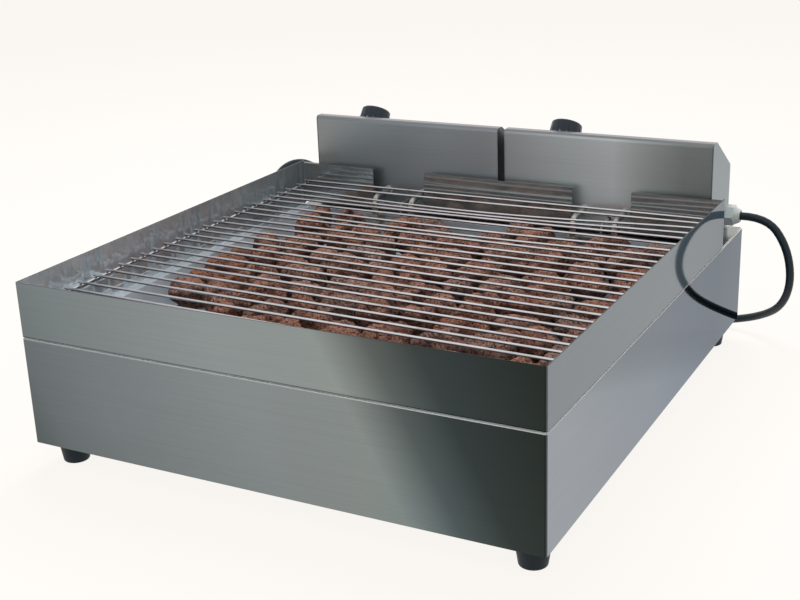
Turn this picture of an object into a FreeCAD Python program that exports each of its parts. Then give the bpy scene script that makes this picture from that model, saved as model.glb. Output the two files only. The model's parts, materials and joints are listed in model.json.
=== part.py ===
import FreeCAD, Part
import math
import os
import random

# Electric lava rock grill, in millimetres, +Z up.
# Origin: on the table, under the middle of the grill's own box (cords left out).
# -Y is the plain face, +Y the operator's side with the knobs and the grease drawer.
# Every distance "from the front" is measured from the plain face towards +Y.

V = FreeCAD.Vector
X_AXIS = V(1, 0, 0)
Y_AXIS = V(0, 1, 0)
Z_AXIS = V(0, 0, 1)
LEFT, RIGHT = -1, 1
SIDES = {"left": LEFT, "right": RIGHT}

# Sheet metal body
CASING_WIDTH = 600.0
CASING_DEPTH = 674.0
CASING_HEIGHT = 122.0
SHEET = 1.2
CORNER_RADIUS = 2.5
LEAST_FILLET = 0.3
BASE_FLANGE = 18.0
TOP_FLANGE = 13.0
FRAME_HEAD_GAP = 11.0
FRAME_HEIGHT = 61.6
FRAME_HEM = 8.0
SEAM_GAP = 0.4
FIT_GAP = 0.3
RUNNING_GAP = 0.05

# Rear wall of the upper frame
REAR_WALL_TOP_FLANGE = 6.4
REAR_WALL_LIFT = 6.0
REAR_WALL_DROP = 2.0
REAR_WALL_TAB = 12.0
NOTCH_WIDTH = 78.0
NOTCH_OFFSET = 2.0
NOTCH_SILL = 7.0

# Feet
FOOT_HEIGHT = 29.0
FOOT_TOP_RADIUS = 18.5
FOOT_BOTTOM_RADIUS = 14.2
FOOT_EDGE_RADIUS = 2.0
FOOT_SIDE_INSET = 26.0
FOOT_FRONT_INSET = 32.0
FOOT_RECESS_RADIUS = 5.5
FOOT_RECESS_DEPTH = 8.0
FOOT_SCREW_RADIUS = 2.5
FOOT_SCREW_HEAD_RADIUS = 4.5
FOOT_SCREW_HEAD_HEIGHT = 3.0
FOOT_SCREW_PROUD = 3.6
SCREW_CLEARANCE = 0.2

# Rock tray and the shelf behind it
TRAY_RIM = 15.0
TRAY_REAR_RIM = 8.0
TRAY_DEPTH = 35.2
TRAY_SLOPE = 13.0
TRAY_REAR_SLOPE = 4.0
TRAY_SLOT_LENGTH = 36.0
TRAY_SLOT_WIDTH = 4.0
TRAY_SLOT_PITCH_X = 84.0
TRAY_SLOT_PITCH_Y = 60.0
RAIL_WIDTH = 30.0
RAIL_HEIGHT = 26.0

# Cooking grid
ROD_RADIUS = 1.6
ROD_PITCH = 22.2
ROD_FIRST = 12.0
ROD_TIP = 4.0
SIDE_ROD_TIP = 2.6
SIDE_ROD_RADIUS = 2.0
GRID_SIDE_GAP = 8.8
GRID_REAR_GAP = 4.0
GRID_BELOW_TOP = 25.0
GRID_REST_LENGTH = 70.0
GRID_REST_WIDTH = 17.0
GRID_REST_HEIGHT = 16.0
GRID_REST_SPREAD = 190.0

# Control heads
HEAD_SIDE_INSET = 19.0
HEAD_GAP = 10.0
HEAD_DEPTH = 84.0
HEAD_HEIGHT = 122.8
HEAD_TOP_DEPTH = 15.0
HEAD_SLOPE_DROP = 43.0
HEAD_BEND = 5.0
HEAD_FLANGE = 12.0
HEAD_FLANGE_BEND = 2.0
HEAD_PAD_THICKNESS = 2.0
HEAD_PAD_LENGTH = 60.0
HEAD_PAD_WIDTH = 24.0
HEAD_SCREW_RADIUS = 2.0
HEAD_SCREW_HEAD_RADIUS = 3.6
HEAD_SCREW_HEAD_HEIGHT = 1.6
HEAD_SCREW_LENGTH = 8.0
HEAD_SCREW_INSET = 22.0

# Knobs, shafts, dials and lamps on the rear slope
KNOB_OFFSET = -72.0
KNOB_DOWN_SLOPE = 34.0
KNOB_SKIRT_RADIUS = 22.0
KNOB_SKIRT_HEIGHT = 4.0
KNOB_TOP_RADIUS = 20.0
KNOB_HEIGHT = 19.5
KNOB_LIFT = 2.6
KNOB_CROWN = 1.5
KNOB_FLUTES = 16
KNOB_FLUTE_RADIUS = 2.4
KNOB_FLUTE_SINK = 1.3
SHAFT_RADIUS = 3.0
SHAFT_IN_KNOB = 14.0
SHAFT_IN_BODY = 14.0
DIAL_RADIUS = 27.0
DIAL_THICKNESS = 1.2
SHAFT_HOLE_RADIUS = 5.0
THERMOSTAT_LENGTH = 42.0
THERMOSTAT_WIDTH = 34.0
THERMOSTAT_HEIGHT = 24.0
LAMP_OFFSET = 72.0
LAMP_RADIUS = 4.8
LAMP_BEZEL_RADIUS = 7.0
LAMP_BEZEL_HEIGHT = 2.0
LAMP_DOME = 2.5
LAMP_BODY = 16.0

# Heating elements
ELEMENT_RADIUS = 4.0
LEG_SPACING = 55.0
LEG_HEIGHT = 27.0
LEG_BEND = 12.0
LEG_FROM_TRAY_END = 15.0
LEG_IN_HEAD = 30.0
ELEMENT_RUN_SPACING = 70.0
ELEMENT_FRONT_GAP = 11.0
ELEMENT_REAR_TURN = 63.0
TERMINAL_PIN_RADIUS = 1.5
TERMINAL_PIN_LENGTH = 9.0
SUPPORT_HEIGHT = 3.5
SUPPORT_WIDTH = 14.0
SUPPORT_FIRST = 90.0
SUPPORT_PITCH = 165.0
SUPPORT_COUNT = 3
BUSH_RADIUS = 5.8
BUSH_FLANGE_RADIUS = 6.8
BUSH_FLANGE_THICKNESS = 2.5
BUSH_LENGTH = 9.0
CLAMP_HEIGHT = 14.0
CLAMP_THICKNESS = 2.0
CLAMP_ABOVE_ELEMENT = 16.0

# Thermostat capillaries and bulbs
CAPILLARY_RADIUS = 1.2
CAPILLARY_BEND = 7.0
CAPILLARY_OFFSET = 7.0
CAPILLARY_BELOW_LEGS = 8.0
CAPILLARY_AHEAD_OF_LEGS = 10.0
BULB_RADIUS = 3.0
BULB_LENGTH = 62.0
BULB_SETBACK = 33.0

# Cord entry and wiring
GLAND_FROM_REAR = 25.0
GLAND_HEIGHT = 20.0
GLAND_THREAD_RADIUS = 9.9
GLAND_THREAD_LENGTH = 12.0
GLAND_FLATS = 24.0
GLAND_FLANGE = 5.0
GLAND_NUT = 9.5
GLAND_DOME = 7.5
GLAND_DOME_RADIUS = 8.0
LOCKNUT_FLATS = 26.0
LOCKNUT_THICKNESS = 5.0
BLOCK_LENGTH = 34.0
BLOCK_WIDTH = 22.0
BLOCK_HEIGHT = 16.0
BLOCK_FROM_SIDE = 36.0
BLOCK_BEHIND_PINS = 14.0
BLOCK_WELL_DEPTH = 6.0
BLOCK_WELL_CLEARANCE = 0.5
LEAD_RADIUS = 1.3
LEAD_SPACING = 6.0
LEAD_BEND = 3.0

# Grease drawer
PAN_SHEET = 1.0
PAN_SIDE_GAP = 14.8
PAN_FRONT_SPACE = 114.0
PAN_HEIGHT = 28.0
PAN_RIM = 10.0
PAN_BELOW_TRAY = 6.0
RUNNER_WIDTH = 21.0
RUNNER_HEIGHT = 20.0
DRAWER_FRONT_BOTTOM = 45.0
DRAWER_FRONT_TOP_GAP = 2.5
DRAWER_FRONT_SIDE_INSET = 1.2
DRAWER_FRONT_THICKNESS = 2.6
DRAWER_OPENING_MARGIN = 4.0
HANDLE_LENGTH = 140.0
HANDLE_REACH = 28.0
HANDLE_RADIUS = 4.0
HANDLE_BEND = 12.0
DRAWER_SCREW_RADIUS = 2.0
DRAWER_SCREW_SPACING = 420.0
DRAWER_SCREW_HEAD_RADIUS = 3.6
DRAWER_SCREW_HEAD_HEIGHT = 2.0
DRAWER_SCREW_END_GAP = 0.6
DRAWER_LAND_LENGTH = 20.0
DRAWER_LAND_HEIGHT = 16.0

# Lava rocks
ROCK_COUNT = 122
ROCK_HALF_LENGTH = (21.0, 32.0)
ROCK_HALF_WIDTH = (16.0, 21.0)
ROCK_HEIGHT = (30.0, 45.0)
ROCK_GAP = 0.6
BARE_STRIP_LEFT = 14.0
BARE_STRIP_RIGHT = 6.0
BARE_PATCH_LEFT = 46.0
BARE_PATCH_RIGHT = 30.0
BARE_CORNER = 85.0
BARE_HOLE = 20.0
BARE_REAR = 34.0
BARE_REAR_CORNER = 26.0
BARE_SPOTS = (
    (-0.875, 0.14, BARE_CORNER),
    (-0.955, 0.77, BARE_HOLE),
    (-0.725, 0.89, BARE_HOLE),
    (-0.08, 0.97, BARE_REAR),
    (0.845, 0.975, BARE_REAR_CORNER),
)
ROCK_ROUGHNESS = 0.16
ROCK_STRETCH = 1.6
ROCK_SKEW = 0.6
CROSSWISE_SHARE = 0.3
ROCK_SCATTER = 0.3
ROCKS_ACROSS_SHARE = 0.7
LEAST_ROCK_SCALE = 0.5
ROCK_SEED = 7
SETTLING_ROUNDS = 260
WALL_STEP = 0.6
ROCK_STEP = 0.25

# Mains cords
CORD_RADIUS = 5.0
COIL_PITCH = 10.7
COIL_INNER_RADIUS = 50.0
COIL_TURNS_PER_LAYER = 1.5
COIL_FLARE = 12.0
COIL_CENTRE_X = 150.0
COIL_BEHIND = 104.0
COIL_LEAD_IN = 28.0
CORD_BEND_SHARE = 0.45
RIGHT_ROUTE = ((33, 0, 176), (61, -6, 143), (71, -13, 100), (57, 8, 58), (25, 42, 29), (-19, 60, 11))
RIGHT_FLOOR_ROUTE = ((-67, 56),)
LEFT_ROUTE = ((19, 0, 186), (47, 1, 193), (81, 6, 180), (108, 16, 151), (125, 29, 113))
LEFT_ROUTE += ((123, 47, 72), (97, 63, 36), (55, 73, 12))
LEFT_FLOOR_ROUTE = ((5, 74), (-39, 72), (-81, 65))
PLUG_LENGTH = 46.0
PLUG_NECK_LENGTH = 26.0
PLUG_RADIUS = 19.0
PLUG_NECK_RADIUS = 8.0
PLUG_COLLAR_RADIUS = 11.0
PLUG_PIN_RADIUS = 2.4
PLUG_PIN_LENGTH = 19.0
PLUG_PIN_SPACING = 19.0

# Levels and stations worked out from the sizes above
REAR_REACH = FIT_GAP + DRAWER_FRONT_THICKNESS + HANDLE_REACH
Y_FRONT = -(CASING_DEPTH + REAR_REACH) / 2
HALF_WIDTH = CASING_WIDTH / 2
INNER_HALF = HALF_WIDTH - SHEET
Z_BASE = FOOT_HEIGHT
Z_SEAM = Z_BASE + CASING_HEIGHT
Z_RIM = Z_SEAM + SHEET
Z_FRAME = Z_RIM + SEAM_GAP
Z_FRAME_TOP = Z_FRAME + FRAME_HEIGHT
HEAD_FRONT = CASING_DEPTH - HEAD_DEPTH
FRAME_DEPTH = HEAD_FRONT - FRAME_HEAD_GAP
REAR_WALL_FRONT = FRAME_DEPTH - REAR_WALL_TOP_FLANGE
RIM_INSET = SHEET + FIT_GAP
TRAY_OPENING_HALF = HALF_WIDTH - RIM_INSET - TRAY_RIM
TRAY_OPENING_FRONT = RIM_INSET + TRAY_RIM
TRAY_OPENING_REAR = REAR_WALL_FRONT - TRAY_REAR_RIM
Z_FLOOR = Z_RIM - TRAY_DEPTH
FLOOR_HALF = TRAY_OPENING_HALF - TRAY_SLOPE
FLOOR_FRONT = TRAY_OPENING_FRONT + TRAY_SLOPE
FLOOR_REAR = TRAY_OPENING_REAR - TRAY_REAR_SLOPE
DECK_FRONT = REAR_WALL_FRONT + FIT_GAP
Z_HEAD = Z_RIM + HEAD_PAD_THICKNESS
Z_HEAD_TOP = Z_HEAD + HEAD_HEIGHT
HEAD_WIDTH = HALF_WIDTH - HEAD_SIDE_INSET - HEAD_GAP / 2
HEAD_CENTRE = (HEAD_WIDTH + HEAD_GAP) / 2
SLOPE_RUN = HEAD_DEPTH - HEAD_TOP_DEPTH
SLOPE_ANGLE = math.degrees(math.atan2(HEAD_SLOPE_DROP, SLOPE_RUN))
Z_LEGS = Z_RIM + LEG_HEIGHT
Z_ELEMENT = Z_FLOOR + SUPPORT_HEIGHT + FIT_GAP + ELEMENT_RADIUS
Z_ROCKS = Z_ELEMENT + ELEMENT_RADIUS + FIT_GAP
LEG_STATION = TRAY_OPENING_REAR - LEG_FROM_TRAY_END
Z_SIDE_ROD = Z_FRAME_TOP - GRID_BELOW_TOP - ROD_RADIUS - SIDE_ROD_RADIUS
Z_ROD = Z_FRAME_TOP - GRID_BELOW_TOP
ROD_HALF_LENGTH = INNER_HALF - GRID_SIDE_GAP
SIDE_ROD_X = ROD_HALF_LENGTH - ROD_TIP
GRID_LENGTH = REAR_WALL_FRONT - GRID_REAR_GAP - ROD_FIRST
ROD_COUNT = int(GRID_LENGTH / ROD_PITCH) + 1
GLAND_STATION = CASING_DEPTH - GLAND_FROM_REAR
PIN_STATION = HEAD_FRONT + LEG_IN_HEAD + TERMINAL_PIN_LENGTH
Z_GLAND = Z_HEAD + GLAND_HEIGHT
GLAND_OUT = GLAND_FLANGE + GLAND_NUT + GLAND_DOME
HEAD_OUTER_X = HEAD_GAP / 2 + HEAD_WIDTH
GLAND_END_X = HEAD_OUTER_X + GLAND_OUT
Z_PAN_TOP = Z_FLOOR - SHEET - PAN_BELOW_TRAY
PAN_HALF = INNER_HALF - PAN_SIDE_GAP - PAN_RIM


def station(distance):
    """Y of a distance measured from the plain front face."""
    return Y_FRONT + distance


def box(x0, x1, d0, d1, z0, z1):
    """Block between two X, two distances from the front and two Z."""
    return Part.makeBox(x1 - x0, d1 - d0, z1 - z0, V(x0, station(d0), z0))


def cylinder(radius, length, base, axis):
    return Part.makeCylinder(radius, length, base, axis)


def export(node, solids):
    """Write one sub-part as a STEP file."""
    shape = solids[0] if len(solids) == 1 else Part.makeCompound(solids)
    for solid in shape.Solids:
        if not solid.isValid():
            print("not valid:", node)
    print(node, len(shape.Solids), "solids", round(shape.Volume / 1000, 1), "cm3")
    shape.exportStep("parts/" + node + ".step")


# Paths of straight runs and tangent arcs

def arc(start, corner, end):
    """Arc from start to end whose tangents meet at the corner."""
    middle = (start + end) * 0.5
    half_chord = (start - middle).Length
    cosine = half_chord / (start - corner).Length
    return Part.Arc(start, middle + (corner - middle) * (cosine / (1 + cosine)), end).toShape()


def rounded_edges(points, radii):
    """Runs through the points, with an arc of the given radius at each inner point."""
    edges = []
    here = points[0]
    for index in range(1, len(points) - 1):
        corner = points[index]
        back = (points[index - 1] - corner).normalize()
        ahead = (points[index + 1] - corner).normalize()
        half_turn = (math.pi - back.getAngle(ahead)) / 2
        reach = radii[index - 1] * math.tan(half_turn)
        start = corner + back * reach
        end = corner + ahead * reach
        if (start - here).Length > 1e-6:
            edges.append(Part.LineSegment(here, start).toShape())
        edges.append(arc(start, corner, end))
        here = end
    if (points[-1] - here).Length > 1e-6:
        edges.append(Part.LineSegment(here, points[-1]).toShape())
    return edges


def pipe(edges, radius):
    """Round bar or tube body swept along tangent edges."""
    spine = Part.Wire(edges)
    first = edges[0]
    start = first.valueAt(first.FirstParameter)
    direction = first.tangentAt(first.FirstParameter)
    section = Part.Wire([Part.makeCircle(radius, start, direction)])
    return spine.makePipeShell([section], True, False)


def bar(points, bend, radius):
    """Round bar through the points with one bend radius."""
    return pipe(rounded_edges(points, [bend] * (len(points) - 2)), radius)


# Bent sheet outlines in the YZ plane

def offset_outline(points, thickness):
    """Points of an open outline moved sideways by the thickness, mitred at the bends."""
    moved = []
    for index, point in enumerate(points):
        normals = []
        for first, second in ((index - 1, index), (index, index + 1)):
            if first >= 0 and second < len(points):
                run = (points[second] - points[first]).normalize()
                normals.append(V(0, run.z, -run.y))
        normal = normals[0] + normals[-1]
        normal = normal * (1 / normal.dot(normals[0]))
        moved.append(point + normal * thickness)
    return moved


def folded_sheet(outline, bends, x0, x1):
    """Sheet folded along X; the outline is its outer side, the sheet lies to its right."""
    inner = offset_outline(outline, SHEET)
    outer_edges = rounded_edges(outline, bends)
    inner_edges = rounded_edges(inner, [bend - SHEET for bend in bends])
    closing = [Part.LineSegment(outline[0], inner[0]).toShape()]
    closing.append(Part.LineSegment(outline[-1], inner[-1]).toShape())
    loop = Part.Wire(Part.sortEdges(outer_edges + inner_edges + closing)[0])
    face = Part.Face(loop)
    face.translate(V(x0, 0, 0))
    return face.extrude(V(x1 - x0, 0, 0))


# Sheet shells, open at the back

def u_block(half_width, d0, depth, z0, z1, radius):
    """Block with its two front corners rounded."""
    block = box(-half_width, half_width, d0, depth, z0, z1)
    if radius < LEAST_FILLET:
        return block
    corners = []
    for edge in block.Edges:
        middle = edge.CenterOfMass
        if abs(middle.z - (z0 + z1) / 2) < 1e-6 and abs(middle.y - station(d0)) < 1e-6:
            corners.append(edge)
    return block.makeFillet(radius, corners)


def u_wall(half_width, d0, depth, z0, z1, radius):
    """Front and side walls of one sheet, open at the back."""
    outer = u_block(half_width, d0, depth, z0, z1, radius)
    inner = u_block(half_width - SHEET, d0 + SHEET, depth + SHEET, z0 - 1, z1 + 1, radius - SHEET)
    return outer.cut(inner)


def u_flange(half_width, d0, depth, width, z0, radius):
    """Flat flange turned inwards from the front and side walls."""
    outer = u_block(half_width, d0, depth, z0, z0 + SHEET, radius)
    half = half_width - width
    hole = box(-half, half, d0 + width, depth + SHEET, z0 - 1, z0 + SHEET + 1)
    return outer.cut(hole)


def lower_casing():
    """Front and side walls with a base flange and a top flange."""
    wall = u_wall(HALF_WIDTH, 0, CASING_DEPTH, Z_BASE, Z_SEAM, CORNER_RADIUS)
    base = u_flange(HALF_WIDTH, 0, CASING_DEPTH, BASE_FLANGE, Z_BASE, CORNER_RADIUS)
    top = u_flange(HALF_WIDTH, 0, CASING_DEPTH, TOP_FLANGE, Z_SEAM - SHEET, CORNER_RADIUS)
    return wall.fuse([base, top]).removeSplitter()


def foot_places():
    x = HALF_WIDTH - FOOT_SIDE_INSET
    near = station(FOOT_FRONT_INSET)
    far = station(CASING_DEPTH - FOOT_FRONT_INSET)
    return [(side * x, y) for side in (LEFT, RIGHT) for y in (near, far)]


def base_plate():
    """Bottom sheet that lies on the base flange."""
    half = INNER_HALF - FIT_GAP
    plate = box(-half, half, RIM_INSET, CASING_DEPTH - RIM_INSET, Z_BASE + SHEET, Z_BASE + 2 * SHEET)
    holes = []
    for x, y in foot_places():
        base = V(x, y, Z_BASE - SHEET)
        holes.append(cylinder(FOOT_SCREW_RADIUS + SCREW_CLEARANCE, 4 * SHEET, base, Z_AXIS))
    return plate.cut(holes)


def drawer_opening_half():
    return PAN_HALF + PAN_RIM + DRAWER_OPENING_MARGIN


def back_panel():
    """Rear wall with the opening that the grease drawer passes through."""
    half = INNER_HALF - FIT_GAP
    z0 = Z_BASE + 2 * SHEET + FIT_GAP
    z1 = Z_SEAM - SHEET - FIT_GAP
    panel = box(-half, half, CASING_DEPTH - SHEET, CASING_DEPTH, z0, z1)
    opening_half = drawer_opening_half()
    low = Z_PAN_TOP - PAN_HEIGHT - DRAWER_OPENING_MARGIN
    high = Z_PAN_TOP + DRAWER_OPENING_MARGIN
    opening = box(-opening_half, opening_half, CASING_DEPTH - 2 * SHEET, CASING_DEPTH + SHEET, low, high)
    return panel.cut(opening)


def foot(x, y):
    """Tapered rubber foot with a recess for its screw."""
    slope = (FOOT_TOP_RADIUS - FOOT_BOTTOM_RADIUS) / FOOT_HEIGHT
    points = [V(FOOT_RECESS_RADIUS, 0, 0), V(FOOT_BOTTOM_RADIUS, 0, 0)]
    points.append(V(FOOT_BOTTOM_RADIUS + slope * FOOT_HEIGHT, 0, FOOT_HEIGHT))
    edges = rounded_edges(points, [FOOT_EDGE_RADIUS])
    hole = FOOT_SCREW_RADIUS + SCREW_CLEARANCE
    rest = [points[2], V(hole, 0, FOOT_HEIGHT), V(hole, 0, FOOT_RECESS_DEPTH)]
    rest += [V(FOOT_RECESS_RADIUS, 0, FOOT_RECESS_DEPTH), points[0]]
    for first, second in zip(rest, rest[1:]):
        edges.append(Part.LineSegment(first, second).toShape())
    face = Part.Face(Part.Wire(edges))
    solid = face.revolve(V(0, 0, 0), Z_AXIS, 360)
    solid.translate(V(x, y, 0))
    return solid


def foot_screw(x, y):
    """Pan head screw from the foot's recess up through the base plate."""
    seat = V(x, y, FOOT_RECESS_DEPTH)
    head = cylinder(FOOT_SCREW_HEAD_RADIUS, FOOT_SCREW_HEAD_HEIGHT, seat, -Z_AXIS)
    length = Z_BASE + 2 * SHEET + FOOT_SCREW_PROUD - FOOT_RECESS_DEPTH
    return head.fuse(cylinder(FOOT_SCREW_RADIUS, length, seat, Z_AXIS))


# Rock tray, cross rail and deck

def tray_hollow(grow, z_low, z_high):
    """Tapered body of the basin; grow moves its walls outwards."""
    loops = []
    for level, slope_x, rear in ((z_high, 0.0, 0.0), (z_low, TRAY_SLOPE, TRAY_REAR_SLOPE)):
        half = TRAY_OPENING_HALF - slope_x + grow
        front = station(TRAY_OPENING_FRONT + slope_x - grow)
        back = station(TRAY_OPENING_REAR - rear + grow)
        corners = [V(-half, front, level), V(half, front, level), V(half, back, level), V(-half, back, level)]
        loops.append(Part.makePolygon(corners + corners[:1]))
    return Part.makeLoft(loops, True, True)


def tray_slots():
    """Drain slots in rows across the floor."""
    cutters = []
    rows = int((FLOOR_REAR - FLOOR_FRONT - TRAY_SLOT_PITCH_Y) / TRAY_SLOT_PITCH_Y) + 1
    columns = int((2 * FLOOR_HALF - TRAY_SLOT_PITCH_X) / TRAY_SLOT_PITCH_X) + 1
    middle = (FLOOR_FRONT + FLOOR_REAR) / 2
    for row in range(rows):
        d = middle + (row - (rows - 1) / 2) * TRAY_SLOT_PITCH_Y
        for column in range(columns):
            x = (column - (columns - 1) / 2) * TRAY_SLOT_PITCH_X
            half = TRAY_SLOT_LENGTH / 2
            wide = TRAY_SLOT_WIDTH / 2
            cutters.append(box(x - half, x + half, d - wide, d + wide, Z_FLOOR - 2 * SHEET, Z_FLOOR + SHEET))
    return cutters


def rock_tray():
    """Basin with a flat rim that lies on the casing's top flange."""
    edge = HALF_WIDTH - RIM_INSET
    rim = box(-edge, edge, RIM_INSET, REAR_WALL_FRONT, Z_SEAM, Z_RIM)
    outside = tray_hollow(SHEET, Z_FLOOR - SHEET, Z_RIM)
    inside = tray_hollow(0, Z_FLOOR, Z_RIM)
    tray = rim.fuse(outside).cut(inside)
    return tray.cut(tray_slots()).removeSplitter()


def cross_rail():
    """Angle under the meeting edges of the tray's rim and the rear deck."""
    front = TRAY_OPENING_REAR + SHEET + FIT_GAP
    back = front + RAIL_WIDTH
    half = HALF_WIDTH - TOP_FLANGE - FIT_GAP
    top = box(-half, half, front, back, Z_SEAM - SHEET, Z_SEAM)
    web_half = INNER_HALF - FIT_GAP
    web = box(-web_half, web_half, back - SHEET, back, Z_SEAM - RAIL_HEIGHT, Z_SEAM - SHEET - FIT_GAP)
    neck = box(-half, half, back - SHEET, back, Z_SEAM - RAIL_HEIGHT, Z_SEAM)
    return top.fuse([web, neck]).removeSplitter()


def rear_deck():
    """Flat shelf behind the upper frame that carries both control heads."""
    edge = HALF_WIDTH - RIM_INSET
    return box(-edge, edge, DECK_FRONT, CASING_DEPTH, Z_SEAM, Z_RIM)


# Upper frame

def upper_frame():
    """Splash band: front and side walls with a hem folded up inside their lower edge."""
    wall = u_wall(HALF_WIDTH, 0, FRAME_DEPTH, Z_FRAME, Z_FRAME_TOP, CORNER_RADIUS)
    inner_radius = CORNER_RADIUS - SHEET
    hem = u_wall(INNER_HALF, SHEET, REAR_WALL_FRONT - FIT_GAP, Z_FRAME, Z_FRAME + FRAME_HEM, inner_radius)
    return wall.fuse(hem).removeSplitter()


def frame_rear_wall():
    """Rear wall with a folded top, two end tabs and a notch for each pair of element legs."""
    half = INNER_HALF - FIT_GAP
    z0 = Z_FRAME + REAR_WALL_LIFT
    z1 = Z_FRAME_TOP - REAR_WALL_DROP
    wall = box(-half, half, REAR_WALL_FRONT, REAR_WALL_FRONT + SHEET, z0, z1)
    top = box(-half, half, REAR_WALL_FRONT, FRAME_DEPTH, z1 - SHEET, z1)
    tab_low = Z_FRAME + FRAME_HEM + FIT_GAP
    tabs = []
    for side in (LEFT, RIGHT):
        x0, x1 = sorted((side * half, side * (half - SHEET)))
        tabs.append(box(x0, x1, REAR_WALL_FRONT - REAR_WALL_TAB, REAR_WALL_FRONT, tab_low, z1))
    notches = []
    for side in (LEFT, RIGHT):
        x0 = side * (HEAD_CENTRE + NOTCH_OFFSET) - NOTCH_WIDTH / 2
        x1 = x0 + NOTCH_WIDTH
        d0 = REAR_WALL_FRONT - SHEET
        d1 = FRAME_DEPTH + SHEET
        notches.append(box(x0, x1, d0, d1, z0 + NOTCH_SILL, z1 + SHEET))
    return wall.fuse([top] + tabs).cut(notches).removeSplitter()


def grid_rests():
    """Small angle brackets on the side walls, under the grid's side rods."""
    rests = []
    top = Z_SIDE_ROD - SIDE_ROD_RADIUS - FIT_GAP
    middle = (ROD_FIRST + REAR_WALL_FRONT - GRID_REAR_GAP) / 2
    for side in (LEFT, RIGHT):
        for end in (-1, 1):
            d = middle + end * GRID_REST_SPREAD
            d0 = d - GRID_REST_LENGTH / 2
            d1 = d + GRID_REST_LENGTH / 2
            wall = INNER_HALF
            x0, x1 = sorted((side * wall, side * (wall - GRID_REST_WIDTH)))
            shelf = box(x0, x1, d0, d1, top - SHEET, top)
            x0, x1 = sorted((side * wall, side * (wall - SHEET)))
            leg = box(x0, x1, d0, d1, top - GRID_REST_HEIGHT, top)
            rests.append(shelf.fuse(leg).removeSplitter())
    return rests


# Cooking grid

def grid_cross_rods():
    rods = []
    for index in range(ROD_COUNT):
        base = V(-ROD_HALF_LENGTH, station(ROD_FIRST + index * ROD_PITCH), Z_ROD)
        rods.append(cylinder(ROD_RADIUS, 2 * ROD_HALF_LENGTH, base, X_AXIS))
    return rods


def grid_side_rods():
    last = ROD_FIRST + (ROD_COUNT - 1) * ROD_PITCH
    start = station(ROD_FIRST - SIDE_ROD_TIP)
    length = last - ROD_FIRST + 2 * SIDE_ROD_TIP
    rods = []
    for side in (LEFT, RIGHT):
        rods.append(cylinder(SIDE_ROD_RADIUS, length, V(side * SIDE_ROD_X, start, Z_SIDE_ROD), Y_AXIS))
    return rods


# Heating elements and what holds them

def element_path(side):
    """Cold leg, drop, jog, four runs with three turns, jog, rise, cold leg."""
    centre = side * HEAD_CENTRE
    outer = 1.5 * ELEMENT_RUN_SPACING
    inner = 0.5 * ELEMENT_RUN_SPACING
    leg = LEG_SPACING / 2
    turn = ELEMENT_RUN_SPACING / 2
    y_head = station(HEAD_FRONT + LEG_IN_HEAD)
    y_leg = station(LEG_STATION)
    y_front = station(FLOOR_FRONT + ELEMENT_FRONT_GAP)
    y_turn = station(LEG_STATION - ELEMENT_REAR_TURN)
    half = [(leg, y_head, Z_LEGS), (leg, y_leg, Z_LEGS), (leg, y_leg, Z_ELEMENT), (outer, y_leg, Z_ELEMENT)]
    half += [(outer, y_front, Z_ELEMENT), (inner, y_front, Z_ELEMENT), (inner, y_turn, Z_ELEMENT)]
    radii = [LEG_BEND, LEG_BEND, LEG_BEND, turn, turn, turn]
    points = [V(centre - x, y, z) for x, y, z in half]
    points += [V(centre + x, y, z) for x, y, z in reversed(half)]
    return points, radii + radii[::-1]


def heating_element(side):
    points, radii = element_path(side)
    tube = pipe(rounded_edges(points, radii), ELEMENT_RADIUS)
    pins = []
    for end in (points[0], points[-1]):
        pins.append(cylinder(TERMINAL_PIN_RADIUS, TERMINAL_PIN_LENGTH, end, Y_AXIS))
    return tube.fuse(pins)


def element_supports():
    """Flat bars on the tray's floor that keep the elements off it."""
    half = FLOOR_HALF - 2 * FIT_GAP
    bars = []
    for index in range(SUPPORT_COUNT):
        d = FLOOR_FRONT + SUPPORT_FIRST + index * SUPPORT_PITCH
        z1 = Z_FLOOR + SUPPORT_HEIGHT
        bars.append(box(-half, half, d - SUPPORT_WIDTH / 2, d + SUPPORT_WIDTH / 2, Z_FLOOR, z1))
    return bars


def leg_places():
    for side in (LEFT, RIGHT):
        for end in (-1, 1):
            yield side * HEAD_CENTRE + end * LEG_SPACING / 2


def leg_bushes():
    """Ceramic bushes that insulate the legs where they leave the heads."""
    bushes = []
    for x in leg_places():
        flange = V(x, station(HEAD_FRONT), Z_LEGS)
        bush = cylinder(BUSH_FLANGE_RADIUS, BUSH_FLANGE_THICKNESS, flange, -Y_AXIS)
        bush = bush.fuse(cylinder(BUSH_RADIUS, BUSH_LENGTH, flange, Y_AXIS))
        start = V(x, station(HEAD_FRONT - 2 * BUSH_FLANGE_THICKNESS), Z_LEGS)
        bushes.append(bush.cut(cylinder(ELEMENT_RADIUS + FIT_GAP, 3 * BUSH_LENGTH, start, Y_AXIS)))
    return bushes


def leg_clamp(side):
    """Plate that ties the two legs of one element together above the floor."""
    centre = side * HEAD_CENTRE
    half = LEG_SPACING / 2 + 2 * ELEMENT_RADIUS
    z0 = Z_ELEMENT + CLAMP_ABOVE_ELEMENT
    depth = ELEMENT_RADIUS + CLAMP_THICKNESS
    d0 = LEG_STATION - depth
    plate = box(centre - half, centre + half, d0, LEG_STATION + depth, z0, z0 + CLAMP_HEIGHT)
    gap = LEG_SPACING / 2 - 2 * ELEMENT_RADIUS
    inner = ELEMENT_RADIUS + FIT_GAP
    back = LEG_STATION + ELEMENT_RADIUS
    plate = plate.cut(box(centre - gap, centre + gap, d0 - 1, back, z0 - 1, z0 + 2 * CLAMP_HEIGHT))
    holes = []
    for end in (-1, 1):
        base = V(centre + end * LEG_SPACING / 2, station(LEG_STATION), z0 - 1)
        holes.append(cylinder(inner, CLAMP_HEIGHT + 2, base, Z_AXIS))
    return plate.cut(holes)


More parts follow.
